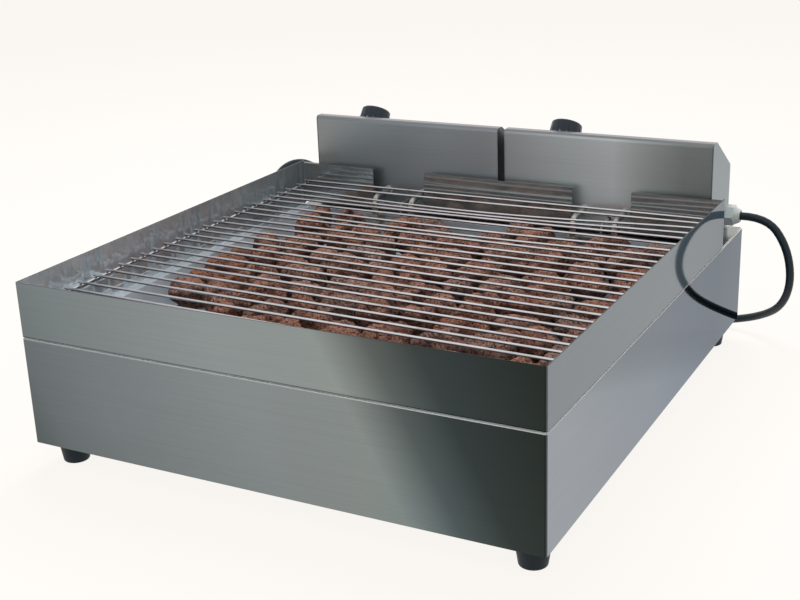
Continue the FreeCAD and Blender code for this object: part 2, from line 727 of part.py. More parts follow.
def bulb_points(side):
    """Capillary from the thermostat down to its bulb among the rocks."""
    centre = side * HEAD_CENTRE
    x_down = centre + CAPILLARY_OFFSET
    x_start = centre + KNOB_OFFSET + THERMOSTAT_LENGTH / 4
    z_cross = Z_LEGS + 3 * ELEMENT_RADIUS + CAPILLARY_BELOW_LEGS
    z_out = Z_LEGS - CAPILLARY_BELOW_LEGS
    d_head = HEAD_FRONT + HEAD_DEPTH / 2
    d_drop = LEG_STATION + CAPILLARY_AHEAD_OF_LEGS
    d_bulb = LEG_STATION - BULB_SETBACK
    start = slope_point(x_start, -SHEET - FIT_GAP - THERMOSTAT_HEIGHT - CAPILLARY_RADIUS)
    points = [start, V(x_start, start.y, z_cross), V(x_down, station(d_head), z_cross)]
    points += [V(x_down, station(d_head), z_out), V(x_down, station(d_drop), z_out)]
    points += [V(x_down, station(d_drop), Z_ELEMENT), V(x_down, station(d_bulb), Z_ELEMENT)]
    points.append(V(x_down + 2 * CAPILLARY_BEND, station(d_bulb), Z_ELEMENT))
    return points


def thermostat_bulb(side):
    points = bulb_points(side)
    capillary = bar(points, CAPILLARY_BEND, CAPILLARY_RADIUS)
    return capillary.fuse(cylinder(BULB_RADIUS, BULB_LENGTH, points[-1], X_AXIS))


# Control heads

def head_outline():
    """Outer side of the folded head: lower flange, front, top, slope, rear, lower flange."""
    front = station(HEAD_FRONT)
    rear = station(CASING_DEPTH)
    shoulder = station(HEAD_FRONT + HEAD_TOP_DEPTH)
    z_rear = Z_HEAD_TOP - HEAD_SLOPE_DROP
    points = [V(0, front + HEAD_FLANGE, Z_HEAD), V(0, front, Z_HEAD), V(0, front, Z_HEAD_TOP)]
    points += [V(0, shoulder, Z_HEAD_TOP), V(0, rear, z_rear), V(0, rear, Z_HEAD)]
    points.append(V(0, rear - HEAD_FLANGE, Z_HEAD))
    return points, [HEAD_FLANGE_BEND, HEAD_BEND, HEAD_BEND, HEAD_BEND, HEAD_FLANGE_BEND]


def slope_point(x, height):
    """Point on the axis of whatever is centred at x on the slope, height above it."""
    angle = math.radians(SLOPE_ANGLE)
    y = station(HEAD_FRONT + HEAD_TOP_DEPTH) + KNOB_DOWN_SLOPE * math.cos(angle)
    z = Z_HEAD_TOP - KNOB_DOWN_SLOPE * math.sin(angle)
    return V(x, y, z) + slope_normal() * height


def slope_normal():
    angle = math.radians(SLOPE_ANGLE)
    return V(0, math.sin(angle), math.cos(angle))


def on_slope(shape, x):
    """Shape made round the Z axis on the XY plane, moved onto the slope."""
    placed = shape.copy()
    placed.Placement = FreeCAD.Placement(slope_point(x, 0), FreeCAD.Rotation(X_AXIS, -SLOPE_ANGLE))
    return placed


def head_limits(side):
    """Lowest and highest X of one head."""
    near = side * HEAD_GAP / 2
    return sorted((near, near + side * HEAD_WIDTH))


def head_shell(side):
    """Front, top, slope and rear of one head, folded from one sheet."""
    x0, x1 = head_limits(side)
    outline, bends = head_outline()
    shell = folded_sheet(outline, bends, x0 + SHEET, x1 - SHEET)
    centre = side * HEAD_CENTRE
    holes = []
    for end in (-1, 1):
        base = V(centre + end * LEG_SPACING / 2, station(HEAD_FRONT - SHEET), Z_LEGS)
        holes.append(cylinder(BUSH_RADIUS + FIT_GAP, 3 * SHEET, base, Y_AXIS))
    base = V(centre + CAPILLARY_OFFSET, station(HEAD_FRONT - SHEET), Z_LEGS - CAPILLARY_BELOW_LEGS)
    holes.append(cylinder(CAPILLARY_RADIUS + SHEET, 3 * SHEET, base, Y_AXIS))
    for offset, radius in ((KNOB_OFFSET, SHAFT_HOLE_RADIUS), (LAMP_OFFSET, LAMP_RADIUS + FIT_GAP)):
        cutter = cylinder(radius, 4 * SHEET, V(0, 0, -2 * SHEET), Z_AXIS)
        holes.append(on_slope(cutter, centre + offset))
    return shell.cut(holes)


def head_side_plates(side):
    """The two flat end plates of one head; the outer one holds the cord gland."""
    outline, bends = head_outline()
    corners = outline[1:-1]
    middle = (corners[0] + corners[-1]) * 0.5
    edges = rounded_edges([middle] + corners + [middle], bends)
    face = Part.Face(Part.Wire(edges))
    plates = []
    for x, outward in zip(head_limits(side), (LEFT, RIGHT)):
        plate = face.copy()
        plate.translate(V(x - (SHEET if outward == RIGHT else 0), 0, 0))
        plate = plate.extrude(V(SHEET, 0, 0))
        if outward == side:
            base = V(x - 2 * SHEET, station(GLAND_STATION), Z_GLAND)
            plate = plate.cut(cylinder(GLAND_THREAD_RADIUS + FIT_GAP, 4 * SHEET, base, X_AXIS))
        plates.append(plate)
    return plates


def head_screw_places(side):
    x0, x1 = head_limits(side)
    for x in (x0 + HEAD_SCREW_INSET, x1 - HEAD_SCREW_INSET):
        for d in (HEAD_FRONT + HEAD_FLANGE / 2, CASING_DEPTH - HEAD_FLANGE / 2):
            yield x, station(d)


def head_straps(side):
    """Cross straps under the bottom plate that reach down to the pads."""
    x0, x1 = head_limits(side)
    d = HEAD_FRONT + HEAD_DEPTH / 2
    half = HEAD_PAD_WIDTH / 2
    long_half = HEAD_DEPTH / 2 - HEAD_FLANGE - FIT_GAP
    straps = []
    for x in (x0 + HEAD_PAD_LENGTH, x1 - HEAD_PAD_LENGTH):
        straps.append(box(x - half, x + half, d - long_half, d + long_half, Z_HEAD, Z_HEAD + SHEET))
    return straps


def head_base(side):
    """Bottom plate of one head, lying on its lower flanges, with its straps."""
    x0, x1 = head_limits(side)
    gap = SHEET + FIT_GAP
    d0 = HEAD_FRONT + HEAD_FLANGE_BEND + FIT_GAP
    d1 = CASING_DEPTH - HEAD_FLANGE_BEND - FIT_GAP
    plate = box(x0 + gap, x1 - gap, d0, d1, Z_HEAD + SHEET, Z_HEAD + 2 * SHEET)
    holes = []
    for x, y in head_screw_places(side):
        holes.append(cylinder(HEAD_SCREW_RADIUS + SCREW_CLEARANCE, 4 * SHEET, V(x, y, Z_HEAD), Z_AXIS))
    return plate.fuse(head_straps(side)).cut(holes).removeSplitter()


def head_screws():
    """Screws from below through the lower flanges into the bottom plates."""
    screws = []
    for side in (LEFT, RIGHT):
        for x, y in head_screw_places(side):
            head = cylinder(HEAD_SCREW_HEAD_RADIUS, HEAD_SCREW_HEAD_HEIGHT, V(x, y, Z_HEAD), -Z_AXIS)
            screws.append(head.fuse(cylinder(HEAD_SCREW_RADIUS, HEAD_SCREW_LENGTH, V(x, y, Z_HEAD), Z_AXIS)))
    return screws


def drill_flanges(shell, side):
    """Screw holes through the lower flanges of a head."""
    holes = []
    for x, y in head_screw_places(side):
        base = V(x, y, Z_HEAD - SHEET / 2)
        holes.append(cylinder(HEAD_SCREW_RADIUS + SCREW_CLEARANCE, 2 * SHEET, base, Z_AXIS))
    return shell.cut(holes)


def head_pads():
    """Pads between the deck and the heads."""
    pads = []
    d = HEAD_FRONT + HEAD_DEPTH / 2
    for side in (LEFT, RIGHT):
        x0, x1 = head_limits(side)
        for x in (x0 + HEAD_PAD_LENGTH, x1 - HEAD_PAD_LENGTH):
            half = HEAD_PAD_WIDTH / 2
            long_half = HEAD_PAD_LENGTH / 2
            pads.append(box(x - half, x + half, d - long_half, d + long_half, Z_RIM, Z_HEAD))
    return pads


# Knobs, dials, lamps and thermostats

def knob_shape():
    """Fluted knob with a skirt and a crowned top, on the XY plane."""
    top = KNOB_LIFT + KNOB_HEIGHT
    skirt_top = KNOB_LIFT + KNOB_SKIRT_HEIGHT
    grip_foot = KNOB_TOP_RADIUS + (KNOB_SKIRT_RADIUS - KNOB_TOP_RADIUS) / 2
    points = [V(0, 0, KNOB_LIFT), V(KNOB_SKIRT_RADIUS, 0, KNOB_LIFT), V(KNOB_SKIRT_RADIUS, 0, skirt_top)]
    points += [V(grip_foot, 0, skirt_top), V(KNOB_TOP_RADIUS, 0, top - KNOB_CROWN)]
    points += [V(KNOB_TOP_RADIUS - KNOB_CROWN, 0, top), V(0, 0, top)]
    face = Part.Face(Part.makePolygon(points + points[:1]))
    knob = face.revolve(V(0, 0, 0), Z_AXIS, 360)
    flutes = []
    for index in range(KNOB_FLUTES):
        angle = 2 * math.pi * (index + 0.5) / KNOB_FLUTES
        reach = grip_foot + KNOB_FLUTE_RADIUS - KNOB_FLUTE_SINK
        base = V(reach * math.cos(angle), reach * math.sin(angle), skirt_top)
        flutes.append(cylinder(KNOB_FLUTE_RADIUS, KNOB_HEIGHT, base, Z_AXIS))
    bore = cylinder(SHAFT_RADIUS, KNOB_LIFT + SHAFT_IN_KNOB, V(0, 0, 0), Z_AXIS)
    return knob.cut(flutes + [bore])


def shaft_shape():
    top = KNOB_LIFT + SHAFT_IN_KNOB - FIT_GAP
    bottom = -SHEET - FIT_GAP - SHAFT_IN_BODY
    return cylinder(SHAFT_RADIUS, top - bottom, V(0, 0, bottom), Z_AXIS)


def dial_shape():
    disc = cylinder(DIAL_RADIUS, DIAL_THICKNESS, V(0, 0, 0), Z_AXIS)
    return disc.cut(cylinder(SHAFT_HOLE_RADIUS, 3 * DIAL_THICKNESS, V(0, 0, -DIAL_THICKNESS), Z_AXIS))


def thermostat_shape():
    """Thermostat body behind the slope with a bore for the shaft."""
    top = -SHEET - FIT_GAP
    corner = V(-THERMOSTAT_LENGTH / 2, -THERMOSTAT_WIDTH / 2, top - THERMOSTAT_HEIGHT)
    body = Part.makeBox(THERMOSTAT_LENGTH, THERMOSTAT_WIDTH, THERMOSTAT_HEIGHT, corner)
    base = V(0, 0, top - SHAFT_IN_BODY - FIT_GAP)
    bore = cylinder(SHAFT_RADIUS + RUNNING_GAP, SHAFT_IN_BODY + 1, base, Z_AXIS)
    return body.cut(bore)


def lamp_shape():
    """Pilot lamp: body behind the sheet, bezel and domed lens in front of it."""
    lamp = cylinder(LAMP_RADIUS, LAMP_BODY, V(0, 0, -LAMP_BODY), Z_AXIS)
    lamp = lamp.fuse(cylinder(LAMP_BEZEL_RADIUS, LAMP_BEZEL_HEIGHT, V(0, 0, 0), Z_AXIS))
    radius = (LAMP_RADIUS ** 2 + LAMP_DOME ** 2) / (2 * LAMP_DOME)
    dome = Part.makeSphere(radius, V(0, 0, LAMP_BEZEL_HEIGHT + LAMP_DOME - radius))
    cap = cylinder(LAMP_RADIUS, LAMP_DOME + 1, V(0, 0, LAMP_BEZEL_HEIGHT), Z_AXIS)
    return lamp.fuse(dome.common(cap))


# Cord glands and wiring

def hexagon(flats, thickness, base, axis):
    """Hexagonal nut body along an axis in X."""
    radius = flats / math.sqrt(3)
    corners = []
    for index in range(6):
        angle = index * math.pi / 3
        corners.append(base + V(0, radius * math.cos(angle), radius * math.sin(angle)))
    return Part.Face(Part.makePolygon(corners + corners[:1])).extrude(axis * thickness)


def cord_gland(side):
    """Threaded gland body and its domed cap nut."""
    out = V(side, 0, 0)
    face = V(side * HEAD_OUTER_X, station(GLAND_STATION), Z_GLAND)
    body = hexagon(GLAND_FLATS, GLAND_FLANGE, face, out)
    thread = cylinder(GLAND_THREAD_RADIUS, GLAND_THREAD_LENGTH + SHEET, face, -out)
    nut_face = face + out * GLAND_FLANGE
    nut = hexagon(GLAND_FLATS, GLAND_NUT, nut_face, out)
    dome_face = nut_face + out * GLAND_NUT
    dome = Part.makeCone(GLAND_FLATS / 2, GLAND_DOME_RADIUS, GLAND_DOME, dome_face, out)
    return [body.fuse(thread), nut.fuse(dome)]


def gland_locknuts():
    nuts = []
    for side in (LEFT, RIGHT):
        out = V(side, 0, 0)
        face = V(side * (HEAD_OUTER_X - SHEET), station(GLAND_STATION), Z_GLAND)
        nut = hexagon(LOCKNUT_FLATS, LOCKNUT_THICKNESS, face, -out)
        hole = cylinder(GLAND_THREAD_RADIUS + RUNNING_GAP, 3 * LOCKNUT_THICKNESS, face + out, -out)
        nuts.append(nut.cut(hole))
    return nuts


def block_centre(side):
    """Middle of the terminal block's underside."""
    x = side * (HEAD_OUTER_X - BLOCK_FROM_SIDE - BLOCK_LENGTH / 2)
    return V(x, station(PIN_STATION + BLOCK_BEHIND_PINS), Z_HEAD + 2 * SHEET)


def terminal_block(side):
    """Three-pole terminal block with its screw wells."""
    foot_centre = block_centre(side)
    corner = foot_centre - V(BLOCK_LENGTH / 2, BLOCK_WIDTH / 2, 0)
    block = Part.makeBox(BLOCK_LENGTH, BLOCK_WIDTH, BLOCK_HEIGHT, corner)
    wells = []
    for index in (-1, 0, 1):
        for end in (-1, 1):
            floor = BLOCK_HEIGHT - BLOCK_WELL_DEPTH
            place = foot_centre + V(end * BLOCK_LENGTH / 4, index * LEAD_SPACING, floor)
            wells.append(cylinder(LEAD_RADIUS + BLOCK_WELL_CLEARANCE, BLOCK_HEIGHT, place, Z_AXIS))
    return block.cut(wells)


def head_leads(side):
    """Three supply leads from the gland and two leads to the element's pins."""
    block = block_centre(side)
    leads = []
    gland_face = side * (HEAD_OUTER_X - SHEET - GLAND_THREAD_LENGTH)
    block_face = block.x + side * BLOCK_LENGTH / 2
    for index in (-1, 0, 1):
        y_block = block.y + index * LEAD_SPACING
        y_gland = station(GLAND_STATION) + index * LEAD_SPACING / 2
        start = V(gland_face, y_gland, Z_GLAND)
        end = V(block_face, y_block, block.z + BLOCK_HEIGHT / 2)
        run = end - start
        leads.append(cylinder(LEAD_RADIUS, run.Length, start, run))
    pin_y = station(PIN_STATION)
    inner_face = block.x - side * BLOCK_LENGTH / 2
    for end, index in ((-1, 1), (1, -1)):
        pin_x = side * HEAD_CENTRE + end * side * LEG_SPACING / 2
        y_block = block.y + index * LEAD_SPACING
        z_block = block.z + BLOCK_HEIGHT / 2
        points = [V(pin_x, pin_y, Z_LEGS), V(pin_x, y_block, Z_LEGS)]
        points += [V(pin_x, y_block, z_block), V(inner_face, y_block, z_block)]
        leads.append(bar(points, LEAD_BEND, LEAD_RADIUS))
    return leads


# Grease drawer

def drawer_pan():
    """Shallow pan with an outward rim on both sides that rides on the runners."""
    half = PAN_HALF
    z0 = Z_PAN_TOP - PAN_HEIGHT
    pan = box(-half, half, PAN_FRONT_SPACE, CASING_DEPTH, z0, Z_PAN_TOP)
    hollow_half = half - PAN_SHEET
    d0 = PAN_FRONT_SPACE + PAN_SHEET
    d1 = CASING_DEPTH - PAN_SHEET
    inside = box(-hollow_half, hollow_half, d0, d1, z0 + PAN_SHEET, Z_PAN_TOP + PAN_SHEET)
    rims = []
    for side in (LEFT, RIGHT):
        x0, x1 = sorted((side * (half - PAN_SHEET), side * (half + PAN_RIM)))
        rims.append(box(x0, x1, PAN_FRONT_SPACE, CASING_DEPTH, Z_PAN_TOP - PAN_SHEET, Z_PAN_TOP))
    pan = pan.cut(inside).fuse(rims).removeSplitter()
    return pan.cut(drawer_screw_holes(-1))


def drawer_runners():
    """Angles on the side walls that carry the pan's rims."""
    runners = []
    top = Z_PAN_TOP - PAN_SHEET - FIT_GAP
    back = CASING_DEPTH - SHEET - FIT_GAP
    for side in (LEFT, RIGHT):
        x0, x1 = sorted((side * INNER_HALF, side * (INNER_HALF - RUNNER_WIDTH)))
        shelf = box(x0, x1, PAN_FRONT_SPACE, back, top - SHEET, top)
        x0, x1 = sorted((side * INNER_HALF, side * (INNER_HALF - SHEET)))
        leg = box(x0, x1, PAN_FRONT_SPACE, back, top - RUNNER_HEIGHT, top)
        runners.append(shelf.fuse(leg).removeSplitter())
    return runners


def drawer_front():
    """Folded front panel, a little proud of the casing's back."""
    half = HALF_WIDTH - DRAWER_FRONT_SIDE_INSET
    z0 = Z_BASE + DRAWER_FRONT_BOTTOM
    z1 = Z_SEAM - DRAWER_FRONT_TOP_GAP
    d0 = CASING_DEPTH + FIT_GAP
    d1 = d0 + DRAWER_FRONT_THICKNESS
    panel = box(-half, half, d0, d1, z0, z1)
    hollow = box(-half + SHEET, half - SHEET, d0 - 1, d1 - SHEET, z0 + SHEET, z1 - SHEET)
    land_half = DRAWER_LAND_LENGTH / 2
    land_low = drawer_screw_z() - DRAWER_LAND_HEIGHT / 2
    lands = []
    for x in drawer_screw_x():
        lands.append(box(x - land_half, x + land_half, d0, d1, land_low, land_low + DRAWER_LAND_HEIGHT))
    return panel.cut(hollow).fuse(lands).cut(drawer_screw_holes(1)).removeSplitter()


def drawer_screw_x():
    return (-DRAWER_SCREW_SPACING / 2, -HANDLE_LENGTH / 2, HANDLE_LENGTH / 2, DRAWER_SCREW_SPACING / 2)


def drawer_screw_z():
    return Z_PAN_TOP - PAN_HEIGHT / 2


def drawer_screw_holes(way):
    """Holes for the drawer's screws; those behind the handle stop inside the panel."""
    holes = []
    for x in drawer_screw_x():
        base = V(x, station(CASING_DEPTH - 4 * SHEET), drawer_screw_z())
        reach = 4 * SHEET + FIT_GAP + DRAWER_FRONT_THICKNESS - SHEET * (abs(x) > HANDLE_LENGTH)
        length = reach + SHEET * (way > 0) * (abs(x) < HANDLE_LENGTH)
        holes.append(cylinder(DRAWER_SCREW_RADIUS + SCREW_CLEARANCE, length, base, Y_AXIS))
    return holes


def drawer_screws():
    """Screws from inside the pan: two hold the front, two the handle."""
    screws = []
    for x in drawer_screw_x():
        inner = V(x, station(CASING_DEPTH - PAN_SHEET), drawer_screw_z())
        head = cylinder(DRAWER_SCREW_HEAD_RADIUS, DRAWER_SCREW_HEAD_HEIGHT, inner, -Y_AXIS)
        length = PAN_SHEET + DRAWER_FRONT_THICKNESS
        if abs(x) > HANDLE_LENGTH:
            length += FIT_GAP - SHEET - DRAWER_SCREW_END_GAP
        screws.append(head.fuse(cylinder(DRAWER_SCREW_RADIUS, length, inner, Y_AXIS)))
    return screws


def drawer_handle():
    """Round bar handle standing on the drawer front."""
    root = station(CASING_DEPTH + FIT_GAP + DRAWER_FRONT_THICKNESS)
    out = root + HANDLE_REACH - HANDLE_RADIUS
    z = drawer_screw_z()
    half = HANDLE_LENGTH / 2
    points = [V(-half, root, z), V(-half, out, z), V(half, out, z), V(half, root, z)]
    return bar(points, HANDLE_BEND, HANDLE_RADIUS)


# Lava rocks

def icosphere():
    """Vertices and triangles of a once divided icosahedron."""
    golden = (1 + math.sqrt(5)) / 2
    raw = []
    for a in (-1, 1):
        for b in (-golden, golden):
            raw += [(a, b, 0), (0, a, b), (b, 0, a)]
    vertices = [V(*point).normalize() for point in raw]
    edge = min((vertices[0] - other).Length for other in vertices[1:])
    reach = 1.01 * edge
    near = [[(p - q).Length < reach and p is not q for q in vertices] for p in vertices]
    count = len(vertices)
    faces = []
    for i in range(count):
        for j in range(i + 1, count):
            for k in range(j + 1, count):
                if near[i][j] and near[j][k] and near[i][k]:
                    faces.append((i, j, k))
    middles = {}

    def middle(i, j):
        key = (min(i, j), max(i, j))
        if key not in middles:
            vertices.append((vertices[i] + vertices[j]).normalize())
            middles[key] = len(vertices) - 1
        return middles[key]

    divided = []
    for i, j, k in faces:
        a, b, c = middle(i, j), middle(j, k), middle(k, i)
        divided += [(i, a, c), (a, j, b), (c, b, k), (a, b, c)]
    return vertices, divided


class Rock:
    """One lump seen from above: three circles in a row that keep clear of the others."""

    def __init__(self, chance):
        self.half = chance.uniform(*ROCK_HALF_LENGTH)
        self.radius = chance.uniform(*ROCK_HALF_WIDTH)
        self.height = chance.uniform(*ROCK_HEIGHT)
        self.turn = chance.uniform(-ROCK_SKEW, ROCK_SKEW)
        if chance.random() < CROSSWISE_SHARE:
            self.turn += math.pi / 2
        self.x = 0.0
        self.y = 0.0

    def circles(self):
        reach = self.half - self.radius
        along_x = reach * math.cos(self.turn)
        along_y = reach * math.sin(self.turn)
        for step in (-1, 0, 1):
            yield step, self.x + step * along_x, self.y + step * along_y

    def push(self, step, dx, dy):
        """Move by a push on one circle, and turn a little with it."""
        self.x += dx
        self.y += dy
        lever = step * max(self.half - self.radius, 1.0)
        twist = dy * lever * math.cos(self.turn) - dx * lever * math.sin(self.turn)
        self.turn += 0.5 * twist / self.half ** 2


def bed_limits():
    """Lowest and highest X and Y that the rocks may reach at the level of the elements' tops."""
    share = (Z_RIM - Z_ROCKS) / TRAY_DEPTH
    half = TRAY_OPENING_HALF - TRAY_SLOPE * share - ROCK_GAP
    front = station(TRAY_OPENING_FRONT + TRAY_SLOPE * share + ROCK_GAP)
    rear = station(TRAY_OPENING_REAR - TRAY_REAR_SLOPE * share - ROCK_GAP)
    return BARE_STRIP_LEFT - half, half - BARE_STRIP_RIGHT, front, rear


def bed_obstacles():
    """Circles round the legs and capillaries, and bare places, where no rock lies."""
    spots = [(x, station(LEG_STATION), 2 * ELEMENT_RADIUS + CLAMP_THICKNESS) for x in leg_places()]
    for side, size in ((LEFT, BARE_PATCH_LEFT), (RIGHT, BARE_PATCH_RIGHT)):
        spots.append((side * HEAD_CENTRE, station(LEG_STATION) + LEG_SPACING / 2 - size, size))
    _, _, front, rear = bed_limits()
    for across, along, size in BARE_SPOTS:
        spots.append((across * FLOOR_HALF, front + along * (rear - front), size))
    return spots


def settle(rocks):
    """Push overlapping rocks apart until they lie side by side in the bed."""
    left, right, front, rear = bed_limits()
    obstacles = bed_obstacles()
    for _ in range(SETTLING_ROUNDS):
        for rock in rocks:
            for step, x, y in rock.circles():
                dx = min(0, right - rock.radius - x) + max(0, left + rock.radius - x)
                dy = min(0, rear - rock.radius - y) + max(0, front + rock.radius - y)
                rock.push(step, dx * WALL_STEP, dy * WALL_STEP)
            for ox, oy, size in obstacles:
                for step, x, y in rock.circles():
                    apart = math.hypot(x - ox, y - oy)
                    overlap = size + rock.radius - apart
                    if overlap > 0:
                        push = WALL_STEP * overlap / apart
                        rock.push(step, (x - ox) * push, (y - oy) * push)
        for index, rock in enumerate(rocks):
            for other in rocks[index + 1:]:
                if math.hypot(rock.x - other.x, rock.y - other.y) > 2 * ROCK_HALF_LENGTH[1] + ROCK_GAP:
                    continue
                for step, x, y in rock.circles():
                    for other_step, ox, oy in other.circles():
                        apart = max(math.hypot(x - ox, y - oy), ROCK_GAP)
                        overlap = rock.radius + other.radius + ROCK_GAP - apart
                        if overlap > 0:
                            push = ROCK_STEP * overlap / apart
                            rock.push(step, (x - ox) * push, (y - oy) * push)
                            other.push(other_step, (ox - x) * push, (oy - y) * push)


def free_scale(rock, rocks):
    """How much of its drawn size a settled rock can have and stay clear of everything."""
    left, right, front, rear = bed_limits()
    scale = 1.0
    for _, x, y in rock.circles():
        room = min(right - x, x - left, rear - y, y - front)
        for ox, oy, size in bed_obstacles():
            room = min(room, math.hypot(x - ox, y - oy) - size)
        scale = min(scale, room / rock.radius)
        for other in rocks:
            if other is rock:
                continue
            for _, ox, oy in other.circles():
                room = (math.hypot(x - ox, y - oy) - ROCK_GAP) / (rock.radius + other.radius)
                scale = min(scale, room)
    return scale


def rock_solid(rock, scale, sphere, chance):
    """Rough lump inside the rock's three circles, with flat facets."""
    vertices, faces = sphere
    radius = rock.radius * scale
    reach = rock.half - rock.radius
    height = rock.height
    cosine, sine = math.cos(rock.turn), math.sin(rock.turn)
    points = []
    for unit in vertices:
        bulge = 1 - ROCK_ROUGHNESS * chance.random()
        along = unit.x * radius * bulge + reach * max(-1, min(1, ROCK_STRETCH * unit.x))
        across = unit.y * radius * bulge
        up = height / 2 * (1 + unit.z * bulge)
        x = rock.x + along * cosine - across * sine
        y = rock.y + along * sine + across * cosine
        points.append(V(x, y, Z_ROCKS + up))
    facets = []
    for i, j, k in faces:
        facets.append(Part.Face(Part.makePolygon([points[i], points[j], points[k], points[i]])))
    solid = Part.Solid(Part.Shell(facets))
    if solid.Volume < 0:
        solid.reverse()
    return solid


def lava_rocks():
    """All rocks, sorted into four groups by the quarter of the bed they lie in."""
    chance = random.Random(ROCK_SEED)
    left, right, front, rear = bed_limits()
    rocks = [Rock(chance) for _ in range(ROCK_COUNT)]
    columns = int(math.sqrt(ROCK_COUNT * ROCKS_ACROSS_SHARE))
    rows = math.ceil(ROCK_COUNT / columns)
    for index, rock in enumerate(rocks):
        across = index % columns + 0.5 + chance.uniform(-ROCK_SCATTER, ROCK_SCATTER)
        along = index // columns + 0.5 + chance.uniform(-ROCK_SCATTER, ROCK_SCATTER)
        rock.x = left + across * (right - left) / columns
        rock.y = front + along * (rear - front) / rows
    settle(rocks)
    sphere = icosphere()
    groups = {"front_left": [], "front_right": [], "rear_left": [], "rear_right": []}
    scales = [free_scale(rock, rocks) for rock in rocks]
    print("rocks", len(rocks), "scales", round(min(scales), 2), round(sum(scales) / len(scales), 2))
    for rock, scale in zip(rocks, scales):
        if scale > LEAST_ROCK_SCALE:
            end = "front" if rock.y < (front + rear) / 2 else "rear"
            side = "left" if rock.x < 0 else "right"
            groups[end + "_" + side].append(rock_solid(rock, scale, sphere, chance))
    return groups


# Mains cords

def cord_route(side):
    """Points of the free cord from the gland to its coil behind the grill."""
    exit_point = V(side * GLAND_END_X, station(GLAND_STATION), Z_GLAND)
    hanging, lying = (RIGHT_ROUTE, RIGHT_FLOOR_ROUTE) if side == RIGHT else (LEFT_ROUTE, LEFT_FLOOR_ROUTE)
    points = [exit_point]
    points += [V(exit_point.x + side * out, exit_point.y + back, z) for out, back, z in hanging]
    points += [V(exit_point.x + side * out, exit_point.y + back, CORD_RADIUS) for out, back in lying]
    last = coil_start(side)
    return points + [last + V(side * COIL_LEAD_IN, 0, 0), last]


def coil_centre(side):
    return V(side * COIL_CENTRE_X, station(CASING_DEPTH + COIL_BEHIND), CORD_RADIUS)


def coil_start(side):
    """Where the straight lead-in of the coil begins."""
    outer = COIL_INNER_RADIUS + COIL_TURNS_PER_LAYER * COIL_PITCH
    return coil_centre(side) + V(side * 2 * CORD_RADIUS, -outer, 0)


def cord_edges(points, name):
    """Straight runs joined by arcs as large as the shorter run at each point allows."""
    radii = []
    for index in range(1, len(points) - 1):
        before = points[index] - points[index - 1]
        after = points[index + 1] - points[index]
        half_turn = before.getAngle(after) / 2
        radii.append(CORD_BEND_SHARE * min(before.Length, after.Length) / math.tan(half_turn))
    runs = [(second - first).Length for first, second in zip(points, points[1:])]
    print(name, "radii", [round(radius) for radius in radii], "runs", [round(run) for run in runs])
    return rounded_edges(points, radii)


def biarc(start, start_way, end, end_way):
    """Two tangent arcs from one point and direction to another."""
    gap = end - start
    ways = start_way + end_way
    a = 4 - ways.dot(ways)
    b = 2 * gap.dot(ways)
    c = -gap.dot(gap)
    reach = (-b + math.sqrt(b * b - 4 * a * c)) / (2 * a)
    first = start + start_way * reach
    second = end - end_way * reach
    joint = (first + second) * 0.5
    return [arc(start, first, joint), arc(joint, second, end)]


def coil_stations(side):
    """Points and directions at each quarter turn: spiral in, climb a layer, spiral out."""
    centre = coil_centre(side)
    outer = COIL_INNER_RADIUS + COIL_TURNS_PER_LAYER * COIL_PITCH
    quarters = int(round(4 * COIL_TURNS_PER_LAYER))
    climb = 2
    last = 2 * quarters + climb
    reversal = last / 2
    turning = -side
    stations = []
    for index in range(last + 1):
        radius = outer - (reversal - abs(index - reversal)) * COIL_PITCH / 4
        share = min(1, max(0, (index - quarters) / climb))
        height = COIL_PITCH * share
        drift = COIL_PITCH / 4 * (0 if index in (0, reversal) else math.copysign(1, index - reversal))
        rise = COIL_PITCH / 2 if 0 < share < 1 else 0
        if index == last:
            radius += COIL_FLARE
            height = PLUG_RADIUS - CORD_RADIUS
            drift = 0
        angle = -math.pi / 2 + turning * index * math.pi / 2
        outwards = V(math.cos(angle), math.sin(angle), 0)
        place = centre + outwards * radius + V(0, 0, height)
        along = V(-turning * math.sin(angle), turning * math.cos(angle), 0) * (radius * math.pi / 2)
        stations.append((place, (along + outwards * drift + V(0, 0, rise)).normalize()))
    return stations


def coil_edges(side):
    """Centre line of the coil with a straight end of one diameter at each side."""
    stations = coil_stations(side)
    edges = [Part.LineSegment(coil_start(side), stations[0][0]).toShape()]
    for (start, start_way), (end, end_way) in zip(stations, stations[1:]):
        edges += biarc(start, start_way, end, end_way)
    last, way = stations[-1]
    edges.append(Part.LineSegment(last, last + way * 2 * CORD_RADIUS).toShape())
    return edges


def least_self_gap(edges):
    """Smallest gap between turns, measured on points along the centre line."""
    points = []
    travelled = 0.0
    for edge in edges:
        steps = max(2, int(edge.Length / 4))
        for index in range(steps):
            share = index / steps
            parameter = edge.FirstParameter + (edge.LastParameter - edge.FirstParameter) * share
            points.append((travelled + edge.Length * share, edge.valueAt(parameter)))
        travelled += edge.Length
    least = math.inf
    for index, (along, point) in enumerate(points):
        for other_along, other in points[index + 1:]:
            if other_along - along > 12 * CORD_RADIUS:
                least = min(least, (point - other).Length)
    return least - 2 * CORD_RADIUS


